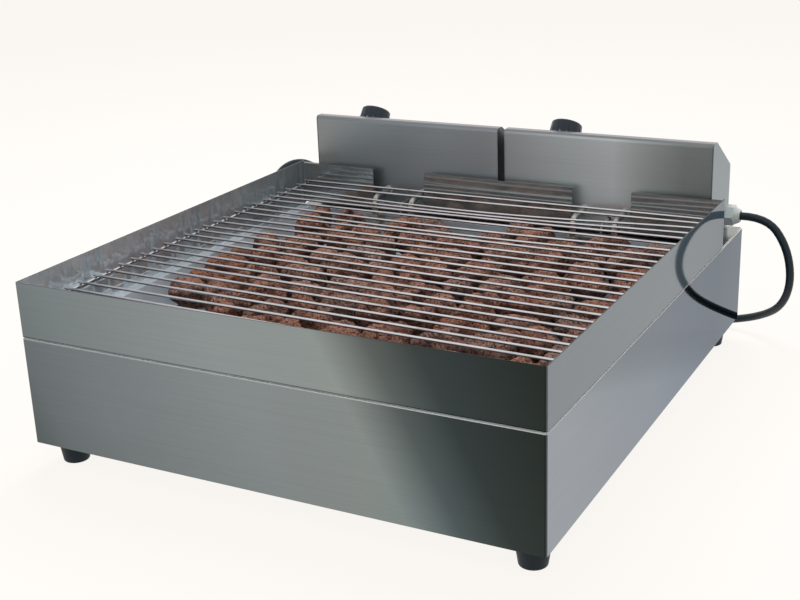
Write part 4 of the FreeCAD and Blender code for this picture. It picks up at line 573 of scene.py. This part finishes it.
def ceramic_finish():
    """Cream ceramic with heat browning."""
    finish = Finish("ceramic")
    spots = finish.blotches(160.0)
    base = finish.ramp(spots, [(0.35, (0.66, 0.66, 0.65)), (0.62, (0.52, 0.52, 0.50)), (0.8, (0.30, 0.27, 0.24))])
    finish.set(Base_Color=base, Roughness=finish.span(spots, 0.3, 0.7, 0.35, 0.6))
    finish.bump(spots, strength=0.15, distance=0.0004)


def element_finish():
    """Sheathed heater tube: grey metal with heat tints from straw to dull blue."""
    finish = Finish("element_metal")
    heat = finish.blotches(26.0)
    base = finish.ramp(heat, [(0.3, (0.56, 0.56, 0.57)), (0.5, (0.46, 0.43, 0.40)), (0.7, (0.34, 0.35, 0.38))])
    finish.set(Base_Color=base, Metallic=1.0, Roughness=finish.span(heat, 0.3, 0.7, 0.28, 0.5))
    finish.bump(heat, strength=0.1, distance=0.0005)


def metal_finish(name, colour, rough):
    """Plain turned or stamped metal with fine scratches."""
    finish = Finish(name)
    marks = finish.noise(1.0, stretch=(40, 40, 400))
    base = finish.mix(finish.span(marks, 0.3, 0.7), shade(colour, 0.88), colour)
    finish.set(Base_Color=base, Metallic=1.0, Roughness=finish.span(marks, 0.3, 0.7, rough * 0.8, rough * 1.3))


def lens_finish():
    """Red lens of the pilot lamps."""
    finish = Finish("lamp_red")
    ribs = finish.noise(500.0, detail=2.0)
    base = finish.mix(finish.span(ribs, 0.35, 0.65), (0.42, 0.02, 0.012), (0.62, 0.045, 0.02))
    finish.set(Base_Color=base, Roughness=0.16, Subsurface_Weight=0.4, Subsurface_Scale=0.003)
    finish.bump(ribs, strength=0.1, distance=0.0002)


def make_finishes(colours):
    """Make every finish once from the chosen colours."""
    casing_finish(colours.steel)
    head_finish(colours.steel)
    tray_finish(colours.tray)
    rod_finish(colours.rods)
    element_finish()
    ceramic_finish()
    rock_finish(colours)
    lens_finish()
    rubber_finish("foot_rubber", colours.rubber, 0.55)
    rubber_finish("cord_rubber", colours.rubber, 0.42)
    plastic_finish("black_plastic", colours.plastic, 0.17, shine=0.4)
    plastic_finish("gland_plastic", colours.gland, 0.35, clear=0.35)
    plastic_finish("lead_plastic", (0.3, 0.14, 0.06), 0.4)
    for name, (colour, rough) in PLAIN_METALS.items():
        metal_finish(name, colour, rough)


# Meshes

# Rounding of edges: width in metres, or None for the sheet edge; least turn in degrees; steps
SHEET_ROUNDING = (None, 50.0, 2)
ROUNDING = {
    "feet": (0.0006, 60.0, 2),
    "foot_screws": (0.0005, 60.0, 2),
    "rock_tray": (None, 30.0, 2),
    "plug": (0.0016, 25.0, 3),
    "plug_pins": (0.0006, 40.0, 2),
    "heating_element": (0.0004, 60.0, 2),
    "thermostat_bulb": (0.0003, 60.0, 2),
    "leg_clamps": (0.0004, 50.0, 2),
    "leg_bushes": (0.0006, 60.0, 2),
    "cord_gland": (0.0007, 25.0, 3),
    "thermostat": (0.0012, 50.0, 2),
    "knob": (0.0005, 25.0, 2),
    "dial_rings": (0.0004, 50.0, 2),
    "pilot_lamp": (0.0003, 35.0, 2),
    "drawer_handle": (0.0005, 60.0, 2),
}
# Vertices this near are one, in metres; faces that turn less are one, and edges that turn less are smooth, in degrees
WELD_DISTANCE = 2e-6
FLAT_TURN = 0.3
SMOOTH_TURN = 40.0
ROCK_SMOOTH_TURN = 70.0


def add_object(name, data):
    """Object in the scene, not yet riding on anything."""
    made = bpy.data.objects.new(name, data)
    bpy.context.scene.collection.objects.link(made)
    return made


def to_mesh(name, shape):
    """Mesh from a bmesh, which is then done with."""
    mesh = bpy.data.meshes.new(name)
    shape.to_mesh(mesh)
    shape.free()
    return mesh


def add_piece(name, shape, body, slot, smooth=SMOOTH_TURN):
    """Piece from a bmesh, smooth except at its sharp edges, with its finish, riding on a body."""
    mesh = to_mesh(name, shape)
    mesh.shade_smooth()
    mesh.set_sharp_from_angle(angle=math.radians(smooth))
    mesh.materials.clear()
    mesh.materials.append(FINISHES[slot])
    piece = add_object(name, mesh)
    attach(piece, body)
    return piece


def stand_in(node, ending, shape, smooth=SMOOTH_TURN):
    """Piece that stands for a CAD node, named after it."""
    piece = add_piece(node + ending, shape, BODY_OF[node], SLOT_OF[node], smooth)
    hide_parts(node)
    return piece


def welded(node):
    """Copy of a CAD node's mesh with its doubled vertices joined."""
    source = frame["nodes"][node]
    shape = bmesh.new()
    shape.from_mesh(source.data)
    shape.transform(source.matrix_world)
    bmesh.ops.remove_doubles(shape, verts=shape.verts, dist=WELD_DISTANCE)
    return shape


def merged(node):
    """Welded copy of a CAD node's mesh with its flat faces joined."""
    shape = welded(node)
    bmesh.ops.dissolve_limit(shape, angle_limit=math.radians(FLAT_TURN), verts=shape.verts, edges=shape.edges)
    bmesh.ops.connect_verts_concave(shape, faces=shape.faces)
    return shape


def dress(*nodes):
    """Copies of CAD nodes with rounded edges that stand for them."""
    pieces = []
    for node in nodes:
        width, least, steps = ROUNDING.get(node.removesuffix("_left").removesuffix("_right"), SHEET_ROUNDING)
        shape = merged(node)
        edges = [edge for edge in shape.edges
                 if len(edge.link_faces) == 2 and edge.calc_face_angle() > math.radians(least)]
        bmesh.ops.bevel(shape, geom=edges, offset=width or bpy.context.scene.grill_sizes.sheet_edge,
                        offset_type="OFFSET", segments=steps, profile=0.6, affect="EDGES", clamp_overlap=True)
        piece = stand_in(node, "_dressed", shape)
        flat = piece.modifiers.new("flat_faces", "WEIGHTED_NORMAL")
        flat.keep_sharp = True
        flat.weight = 100
        pieces.append(piece)
    return pieces


def repaint(node):
    """CAD node that shows as it is, with its finish."""
    data = frame["nodes"][node].data
    data.materials.clear()
    data.materials.append(FINISHES[SLOT_OF[node]])


def islands(shape):
    """Vertices of each separate lump of a bmesh."""
    left = set(shape.verts)
    found = []
    while left:
        seed = left.pop()
        group, edge = [seed], [seed]
        while edge:
            vertex = edge.pop()
            for link in vertex.link_edges:
                other = link.other_vert(vertex)
                if other in left:
                    left.remove(other)
                    group.append(other)
                    edge.append(other)
        found.append(group)
    return found


def lump_boxes(node):
    """Low and high corners of each separate solid in a CAD node."""
    shape = merged(node)
    boxes = []
    for group in islands(shape):
        axes = list(zip(*(vertex.co for vertex in group)))
        boxes.append((Vector([min(axis) for axis in axes]), Vector([max(axis) for axis in axes])))
    shape.free()
    return boxes


# Stage

# Floor: half its width and its drop in metres, its colour as light falls on it, and its own glow where it is seen
FLOOR_HALF = 14.0
FLOOR_DROP = 0.0002
LIT_SHARE = (0.078, 0.082)
GLOW = 0.935
# Lights: place and width in metres, and share of the key light's power
LIGHTS = {"key": ((-0.5, 0.8, 2.3), 1.8, 1.0), "front": ((0.9, -1.4, 1.9), 1.6, 0.2)}
LIGHTS_AIM = Vector((0, 0, 0.1))


def floor_finish(colour):
    """Pale floor that shows as the backdrop's colour and keeps the shadows."""
    finish = Finish("floor")
    speckle = finish.span(finish.noise(3.0, detail=2.0), 0.3, 0.7)
    dull, bright = (shade(colour, share) for share in LIT_SHARE)
    finish.set(Base_Color=finish.mix(speckle, dull, bright), Roughness=0.9, Specular_IOR_Level=0.0)
    finish.set(Emission_Color=colour, Emission_Strength=finish.maths("MULTIPLY", finish.seen(), GLOW))


class GRILL_OT_stage(bpy.types.Operator):
    """Set up the camera, the pale floor and the soft light"""

    bl_idname = "grill.stage"
    bl_label = "Stage"

    def execute(self, context):
        stage = context.scene.grill_stage
        self.make_camera(context.scene, stage)
        self.make_floor(stage)
        self.make_world(context.scene, stage)
        self.make_lights(stage)
        context.scene.view_settings.view_transform = "Standard"
        return {"FINISHED"}

    def make_camera(self, scene, stage):
        lens = bpy.data.cameras.new("camera")
        lens.sensor_width = 36.0
        lens.lens = stage.lens
        lens.clip_start = 0.05
        lens.clip_end = 60.0
        camera = add_object("camera", lens)
        turn, rise = stage.azimuth, stage.elevation
        back = Vector((math.sin(turn) * math.cos(rise), -math.cos(turn) * math.cos(rise), math.sin(rise)))
        level = (-back).to_track_quat("-Z", "Y").to_matrix()
        camera.rotation_mode = "QUATERNION"
        camera.rotation_quaternion = (level @ Matrix.Rotation(stage.roll, 3, "Z")).to_quaternion()
        camera.location = stage.camera_place
        scene.camera = camera

    def make_floor(self, stage):
        shape = bmesh.new()
        bmesh.ops.create_grid(shape, x_segments=8, y_segments=8, size=FLOOR_HALF)
        mesh = to_mesh("floor", shape)
        floor_finish(stage.floor_colour)
        mesh.materials.append(FINISHES["floor"])
        floor = add_object("floor", mesh)
        floor.location.z = -FLOOR_DROP

    def make_world(self, scene, stage):
        scene.world = bpy.data.worlds.new("studio")
        scene.world.use_nodes = True
        nodes = Nodes(scene.world.node_tree)
        background = nodes.tree.nodes["Background"]
        strength = nodes.span(nodes.seen(), 0.0, 1.0, stage.fill_strength, 1.0)
        nodes.feed(stage.floor_colour, background.inputs["Color"])
        nodes.feed(strength, background.inputs["Strength"])

    def make_lights(self, stage):
        for name, (place, width, share) in LIGHTS.items():
            light = bpy.data.lights.new(name, "AREA")
            light.shape = "DISK"
            light.size = width
            light.energy = stage.key_power * share
            lamp = add_object(name, light)
            lamp.location = place
            lamp.visible_glossy = False
            lamp.rotation_mode = "QUATERNION"
            lamp.rotation_quaternion = (LIGHTS_AIM - Vector(place)).to_track_quat("-Z", "Y")


# Cords

# Grip rings round the plug's neck, in metres
RING_COUNT = 5
RING_FIRST = 0.006
RING_PITCH = 0.0042
RING_RADIUS = 0.0086
RING_GROWTH = 0.00052
RING_WIRE = 0.0009


def coil_centre(side):
    return Vector((side * COIL_CENTRE_X, Y_FRONT + CASING_DEPTH + COIL_BEHIND, 0))


def coil_points(side, radius):
    """Control points of the coil: in at the bottom, up a layer, out on top, then flared to the plug."""
    centre = coil_centre(side)
    outer = COIL_INNER_RADIUS + COIL_TURNS_PER_LAYER * COIL_PITCH
    quarters = 4 * COIL_TURNS_PER_LAYER
    last = 2 * quarters + COIL_CLIMB_QUARTERS
    stretch = 1 / math.cos(math.pi / COIL_POINTS_PER_TURN)
    points = []
    for step in range(int(last * COIL_POINTS_PER_TURN / 4)):
        index = (step + 0.5) * 4 / COIL_POINTS_PER_TURN
        share = min(1, max(0, (index - quarters) / COIL_CLIMB_QUARTERS))
        reach = outer - (last / 2 - abs(index - last / 2)) * COIL_PITCH / 4
        height = COIL_PITCH * share * share * (3 - 2 * share)
        final = max(0, index - last + 1)
        reach += COIL_FLARE * final * final
        height += (PLUG_RADIUS - radius - COIL_PITCH) * final * final
        angle = -math.pi / 2 - side * index * math.pi / 2
        place = Vector((math.cos(angle), math.sin(angle), 0)) * reach * stretch
        points.append(centre + place + Vector((0, 0, radius + height)))
    return points


def cord_points(side, radius):
    """Every control point of one cord, from its gland to its plug."""
    outer = COIL_INNER_RADIUS + COIL_TURNS_PER_LAYER * COIL_PITCH
    start = coil_centre(side) + Vector((side * 2 * radius, -outer, radius))
    route = RIGHT_ROUTE if side == RIGHT else LEFT_ROUTE
    points = [Vector((side * GLAND_END[0], GLAND_END[1], GLAND_END[2]))]
    points += [Vector((x, Y_FRONT + distance, z)) for x, distance, z in route]
    points += [start + Vector((side * COIL_LEAD_IN, 0, 0))]
    points += coil_points(side, radius)
    end = coil_centre(side) + Vector((0, outer + COIL_FLARE, PLUG_RADIUS))
    return points + [end, end + Vector((side * 2 * radius, 0, 0))]


def join_rings(shape, first, second):
    """Faces between two rings of vertices."""
    for a, b, c, d in zip(first, second, second[1:] + second[:1], first[1:] + first[:1]):
        shape.faces.new((a, b, c, d))


def add_ring(shape, radius, thickness, matrix, around=32, section=8):
    """Torus added to a bmesh."""
    rows = []
    for step in range(around):
        angle = 2 * math.pi * step / around
        row = []
        for part in range(section):
            turn = 2 * math.pi * part / section
            reach = radius + thickness * math.cos(turn)
            place = Vector((reach * math.cos(angle), reach * math.sin(angle), thickness * math.sin(turn)))
            row.append(shape.verts.new(matrix @ place))
        rows.append(row)
    for row, after in zip(rows, rows[1:] + rows[:1]):
        join_rings(shape, row, after)


class GRILL_OT_cords(bpy.types.Operator):
    """Lay both mains cords from their glands to the coils behind the grill, with their plugs"""

    bl_idname = "grill.cords"
    bl_label = "Mains cords"

    def execute(self, context):
        sizes = context.scene.grill_sizes
        self.make_cord("left", LEFT, sizes.cord_diameter, sizes.left_cord_length)
        self.make_cord("right", RIGHT, sizes.cord_diameter, sizes.right_cord_length)
        return {"FINISHED"}

    def make_cord(self, name, side, diameter, length):
        curve = bpy.data.curves.new("cord_" + name, "CURVE")
        curve.dimensions = "3D"
        curve.bevel_depth = diameter / 2
        curve.bevel_resolution = 6
        curve.use_fill_caps = True
        spline = curve.splines.new("NURBS")
        points = cord_points(side, diameter / 2)
        spline.points.add(len(points) - 1)
        for point, place in zip(spline.points, points):
            point.co = (*place, 1)
        spline.order_u = 3
        spline.use_endpoint_u = True
        spline.resolution_u = 6
        curve.materials.append(FINISHES["cord_rubber"])
        cord = add_object("cord_" + name, curve)
        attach(cord, ROOT)
        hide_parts("mains_cord_" + name, "cord_coil_" + name)
        plug, pins = dress("plug_" + name, "plug_pins_" + name)
        rings = self.plug_rings(name, side)

    def plug_rings(self, name, side):
        """Grip rings round the plug's neck."""
        low, high = (Vector(corner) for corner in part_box("plug_" + name))
        middle = (low + high) / 2
        start = low.x if side == RIGHT else high.x
        shape = bmesh.new()
        for index in range(RING_COUNT):
            x = start + side * (RING_FIRST + RING_PITCH * index)
            stand = Matrix.Translation((x, middle.y, middle.z)) @ Matrix.Rotation(math.pi / 2, 4, "Y")
            add_ring(shape, RING_RADIUS + RING_GROWTH * index, RING_WIRE, stand)
        return add_piece("plug_rings_" + name, shape, ROOT, "cord_rubber")


# Sheet metal

class GRILL_OT_casing(bpy.types.Operator):
    """Dress the lower casing, its plates, the rear deck and the feet"""

    bl_idname = "grill.casing"
    bl_label = "Casing and feet"

    def execute(self, context):
        dress("lower_casing", "base_plate", "back_panel", "cross_rail", "rear_deck", "feet", "foot_screws")
        return {"FINISHED"}


class GRILL_OT_upper_frame(bpy.types.Operator):
    """Dress the upper frame with its notched rear wall and the grid rests"""

    bl_idname = "grill.upper_frame"
    bl_label = "Upper frame"

    def execute(self, context):
        dress("upper_frame", "frame_rear_wall", "grid_rests")
        return {"FINISHED"}


class GRILL_OT_tray(bpy.types.Operator):
    """Dress the rock tray and the bars under the elements"""

    bl_idname = "grill.tray"
    bl_label = "Rock tray"

    def execute(self, context):
        dress("rock_tray", "element_supports")
        return {"FINISHED"}


# Cooking grid

# How far each cross rod lies from its even place, in mm, left and right of the middle: it is welded by hand
ROD_DRIFT = [(1, 0), (1, 0), (4, -9), (5, -4), (8, -5), (6, -7), (7, -8), (7, -8), (4, -9), (4, -9),
             (4, -9), (4, -9), (1, -9), (0, -9), (-3, -8), (-3, -7), (-4, -6), (0, -5), (-1, -4), (-2, -3),
             (-1, -1), (-4, 2), (-6, 2), (-7, 3), (-3, 3), (-2, 1)]
# How far a cross rod has sagged at its middle, in mm
ROD_SAG = {18: 3.0, 19: 2.4, 21: 0.8, 22: 3.8, 23: 6.5, 24: 0.8}
# Where drift is given and where sag ends, from the middle, in metres
DRIFT_HALF = 0.215
SAG_HALF = 0.28
ROD_SPANS = 24
ROD_SIDES = 14
BEAD = 0.0011


def rod_sway(index, x):
    """Shift of a cross rod at one place along it."""
    left, right = ROD_DRIFT[index]
    drift = left + (right - left) * (x + DRIFT_HALF) / (2 * DRIFT_HALF)
    sag = ROD_SAG.get(index, 0.0) * max(0.0, 1 - (x / SAG_HALF) ** 2) ** 1.5
    return Vector((0.0, drift * MM, -sag * MM))


def add_rod(shape, start, end, radius):
    """Round rod with rounded tips added to a bmesh."""
    way = (end - start).normalized()
    length = (end - start).length
    turn = way.to_track_quat("Z", "Y").to_matrix().to_4x4()
    tip = radius * 0.7
    straight = [(1.0, tip + (length - 2 * tip) * step / ROD_SPANS) for step in range(ROD_SPANS + 1)]
    profile = [(0.45, 0.0), (0.85, tip * 0.3), *straight, (0.85, length - tip * 0.3), (0.45, length)]
    rings = []
    for share, height in profile:
        ring = []
        for step in range(ROD_SIDES):
            angle = 2 * math.pi * step / ROD_SIDES
            place = Vector((radius * share * math.cos(angle), radius * share * math.sin(angle), height))
            ring.append(shape.verts.new(start + (turn @ place)))
        rings.append(ring)
    for lower, upper in zip(rings, rings[1:]):
        join_rings(shape, upper, lower)
    shape.faces.new(rings[0][::-1])
    shape.faces.new(rings[-1])
    return [vertex for ring in rings for vertex in ring]


def add_bead(shape, place, size):
    """Small weld bead added to a bmesh."""
    matrix = Matrix.Translation(place) @ Matrix.Diagonal((size * 1.5, size * 0.9, size, 1))
    bmesh.ops.create_icosphere(shape, subdivisions=2, radius=1.0, matrix=matrix)


class GRILL_OT_grid(bpy.types.Operator):
    """Make the cooking grid: cross rods with rounded tips welded onto two side rods"""

    bl_idname = "grill.grid"
    bl_label = "Cooking grid"

    def execute(self, context):
        cross = sorted(lump_boxes("grid_cross_rods"), key=lambda box: box[0].y)
        side = lump_boxes("grid_side_rods")
        self.rods("grid_cross_rods", cross, 0)
        self.rods("grid_side_rods", side, 1)
        self.welds(cross, side)
        return {"FINISHED"}

    def rods(self, node, boxes, axis):
        shape = bmesh.new()
        for index, (low, high) in enumerate(boxes):
            start, end = (low + high) / 2, (low + high) / 2
            start[axis], end[axis] = low[axis], high[axis]
            made = add_rod(shape, start, end, (high.z - low.z) / 2)
            if axis == 0:
                for vertex in made:
                    vertex.co += rod_sway(index, vertex.co.x)
        stand_in(node, "_round", shape)

    def welds(self, cross, side):
        shape = bmesh.new()
        for index, (cross_low, cross_high) in enumerate(cross):
            for side_low, side_high in side:
                place = (side_low + side_high) / 2
                place.y = (cross_low.y + cross_high.y) / 2
                place.z = cross_low.z
                add_bead(shape, place + rod_sway(index, place.x), BEAD)
        add_piece("grid_welds", shape, BODY_OF["grid_side_rods"], "grid_chrome")


# Lava rocks

# How finely a plain rock is cut and rounded, the lumps and pits on it, and how far they go in and out in metres
ROCK_CUTS = 3
ROCK_ROUNDING = 0.35
LUMPS_PER_METRE = 52.0
PITS_PER_METRE = 140.0
PIT_EDGE = 0.35
PIT_SHARE = 0.9
DEEPEST, HIGHEST = -0.005, 0.0035


class GRILL_OT_rocks(bpy.types.Operator):
    """Turn the plain rocks into rough porous lumps of lava"""

    bl_idname = "grill.rocks"
    bl_label = "Lava rocks"

    def execute(self, context):
        sizes = context.scene.grill_sizes
        chance = random.Random(sizes.rock_seed)
        for node in ROCK_NODES:
            shape = welded(node)
            bmesh.ops.subdivide_edges(shape, edges=shape.edges, cuts=ROCK_CUTS, use_grid_fill=True,
                                      smooth=ROCK_ROUNDING)
            shape.normal_update()
            for lump in islands(shape):
                self.roughen(lump, sizes, chance)
            stand_in(node, "_rough", shape, ROCK_SMOOTH_TURN)
        return {"FINISHED"}

    def roughen(self, lump, sizes, chance):
        """Push one lump's vertices in and out along their normals."""
        shift = Vector([chance.uniform(-50, 50) for _ in range(3)])
        for vertex in lump:
            swells = noise.fractal(vertex.co * LUMPS_PER_METRE + shift, 0.9, 2.1, 4, noise_basis="PERLIN_ORIGINAL")
            cells = noise.voronoi(vertex.co * PITS_PER_METRE + shift)[0]
            pit = max(0.0, PIT_EDGE - cells[0])
            move = sizes.rock_swell + sizes.rock_roughness * (swells - PIT_SHARE * pit)
            vertex.co += vertex.normal * max(DEEPEST, min(HIGHEST, move))


# Heating elements and heads

class GRILL_OT_elements(bpy.types.Operator):
    """Dress the heating elements, their clamps and bushes, and the thermostat bulbs"""

    bl_idname = "grill.elements"
    bl_label = "Heating elements"

    def execute(self, context):
        for name in SIDES:
            dress("heating_element_" + name, "thermostat_bulb_" + name)
        dress("leg_clamps", "leg_bushes")
        return {"FINISHED"}


class GRILL_OT_heads(bpy.types.Operator):
    """Dress the control heads with their plates, pads, glands and what they hold"""

    bl_idname = "grill.heads"
    bl_label = "Control heads"

    def execute(self, context):
        for name in SIDES:
            dress("head_shell_" + name, "head_side_plates_" + name, "cord_gland_" + name, "thermostat_" + name)
            repaint("head_leads_" + name)
        dress("head_bases", "head_pads", "head_screws", "gland_locknuts", "terminal_blocks")
        return {"FINISHED"}


# Knobs, dials and lamps

# Knob's skirt, numbers, ticks and the dial's mark, in metres and degrees
SKIRT_RADIUS = 0.022
SKIRT_LOW = 0.0026
PRINT_RADIUS = SKIRT_RADIUS + 0.00012
NUMBER_COUNT = 7
NUMBER_STEP = 50
NUMBER_TURN = 45
NUMBER_START = -90
NUMBER_SIZE = 0.0036
NUMBER_RISE = 0.0007
TICK_RISE = 0.002
TICK_SIZE = (0.0001, 0.0005, 0.002)
MARK_FROM, MARK_TO = 0.0227, 0.0262
MARK_HALF = 0.0006
MARK_SPREAD = 2.2
MARK_HEIGHTS = (0.0011, 0.00135)
BEZEL_HEIGHT = 0.0021


def slope_frame(name):
    """Matrix that stands a piece on the slope at one knob."""
    joint = JOINTS["thermostat_" + name]
    up = Vector(joint["axis"]).normalized()
    right = Vector((1, 0, 0))
    turn = Matrix((right, up.cross(right), up)).transposed().to_4x4()
    return Matrix.Translation(joint["pos_m"]) @ turn


def wrap_text(shape, words, angle, matrix):
    """Thin letters wrapped round the knob's skirt, their middle at an angle, added to a bmesh."""
    curve = bpy.data.curves.new("words", "FONT")
    curve.body = words
    curve.size = NUMBER_SIZE
    curve.align_x = "CENTER"
    curve.resolution_u = 3
    carrier = bpy.data.objects.new("words", curve)
    flat = bpy.data.meshes.new_from_object(carrier)
    made = bmesh.new()
    made.from_mesh(flat)
    bmesh.ops.triangulate(made, faces=made.faces)
    for vertex in made.verts:
        turn = angle + vertex.co.x / PRINT_RADIUS
        x, y = PRINT_RADIUS * math.cos(turn), PRINT_RADIUS * math.sin(turn)
        vertex.co = matrix @ Vector((x, y, SKIRT_LOW + NUMBER_RISE + vertex.co.y))
    joined = to_mesh("words", made)
    shape.from_mesh(joined)
    for data in (flat, joined):
        bpy.data.meshes.remove(data)
    bpy.data.objects.remove(carrier)
    bpy.data.curves.remove(curve)


class GRILL_OT_knobs(bpy.types.Operator):
    """Make the knobs with the numbers on their skirts, the dials with their marks, and the pilot lamps"""

    bl_idname = "grill.knobs"
    bl_label = "Knobs and lamps"

    def execute(self, context):
        for name in SIDES:
            dress("knob_" + name)
            repaint("knob_shaft_" + name)
            self.numbers(name)
            self.mark(name)
            self.lamp(name)
        dress("dial_rings")
        return {"FINISHED"}

    def numbers(self, name):
        """Numbers and ticks round the knob's skirt; the one at the dial's mark is zero at rest."""
        place = slope_frame(name)
        shape = bmesh.new()
        for step in range(NUMBER_COUNT):
            angle = math.radians(NUMBER_START + NUMBER_TURN * step)
            wrap_text(shape, str(NUMBER_STEP * step), angle, place)
        middle = Matrix.Translation((PRINT_RADIUS, 0, SKIRT_LOW + TICK_RISE))
        for step in range(NUMBER_COUNT - 1):
            turn = Matrix.Rotation(math.radians(NUMBER_START + NUMBER_TURN * (step + 0.5)), 4, "Z")
            matrix = place @ turn @ middle @ Matrix.Diagonal((*TICK_SIZE, 1))
            bmesh.ops.create_cube(shape, size=1.0, matrix=matrix)
        add_piece("knob_numbers_" + name, shape, "knob_" + name, "gland_plastic")

    def mark(self, name):
        """Mark on the dial that the numbers turn past."""
        place = slope_frame(name)
        shape = bmesh.new()
        wide = MARK_HALF * MARK_SPREAD
        corners = [(-MARK_HALF, -MARK_FROM), (MARK_HALF, -MARK_FROM), (wide, -MARK_TO), (-wide, -MARK_TO)]
        low, high = [[shape.verts.new(place @ Vector((x, y, z))) for x, y in corners] for z in MARK_HEIGHTS]
        shape.faces.new(low)
        shape.faces.new(high[::-1])
        join_rings(shape, low, high)
        bmesh.ops.recalc_face_normals(shape, faces=shape.faces)
        add_piece("dial_mark_" + name, shape, ROOT, "black_plastic")

    def lamp(self, name):
        """Lens and bezel of one pilot lamp from its solid."""
        joint = JOINTS["thermostat_" + name]
        up = Vector(joint["axis"]).normalized()
        base = Vector(joint["pos_m"]).dot(up)
        lamp, = dress("pilot_lamp_" + name)
        lamp.data.materials.append(FINISHES["black_plastic"])
        for face in lamp.data.polygons:
            if face.center.dot(up) - base < BEZEL_HEIGHT:
                face.material_index = 1


class GRILL_OT_drawer(bpy.types.Operator):
    """Dress the grease drawer with its front, handle, screws and runners"""

    bl_idname = "grill.drawer"
    bl_label = "Grease drawer"

    def execute(self, context):
        dress("drawer_pan", "drawer_front", "drawer_runners", "drawer_screws", "drawer_handle")
        return {"FINISHED"}


class GRILL_PT_panel(bpy.types.Panel):
    """Lists the grill's pieces, sizes and colours"""

    bl_idname = "GRILL_PT_panel"
    bl_label = "Lava rock grill"
    bl_space_type = "VIEW_3D"
    bl_region_type = "UI"
    bl_category = "Grill"

    def draw(self, context):
        layout = self.layout
        for operator in OPERATORS:
            layout.operator(operator.bl_idname)
        for group in (context.scene.grill_sizes, context.scene.grill_colours, context.scene.grill_stage):
            column = layout.column()
            for key in group.bl_rna.properties.keys():
                if key not in ("rna_type", "name"):
                    column.prop(group, key)


OPERATORS = (
    GRILL_OT_stage,
    GRILL_OT_cords,
    GRILL_OT_casing,
    GRILL_OT_upper_frame,
    GRILL_OT_tray,
    GRILL_OT_grid,
    GRILL_OT_rocks,
    GRILL_OT_elements,
    GRILL_OT_heads,
    GRILL_OT_knobs,
    GRILL_OT_drawer,
)
GROUPS = {"grill_sizes": GrillSizes, "grill_colours": GrillColours, "grill_stage": GrillStage}
CLASSES = (*GROUPS.values(), *OPERATORS, GRILL_PT_panel)


def register():
    for each in CLASSES:
        bpy.utils.register_class(each)
    for key, group in GROUPS.items():
        setattr(bpy.types.Scene, key, PointerProperty(type=group))


def unregister():
    for key in GROUPS:
        delattr(bpy.types.Scene, key)
    for each in reversed(CLASSES):
        bpy.utils.unregister_class(each)


def main():
    register()
    make_finishes(bpy.context.scene.grill_colours)
    for operator in OPERATORS:
        family, call = operator.bl_idname.split(".")
        getattr(getattr(bpy.ops, family), call)()


if __name__ == "__main__":
    main()
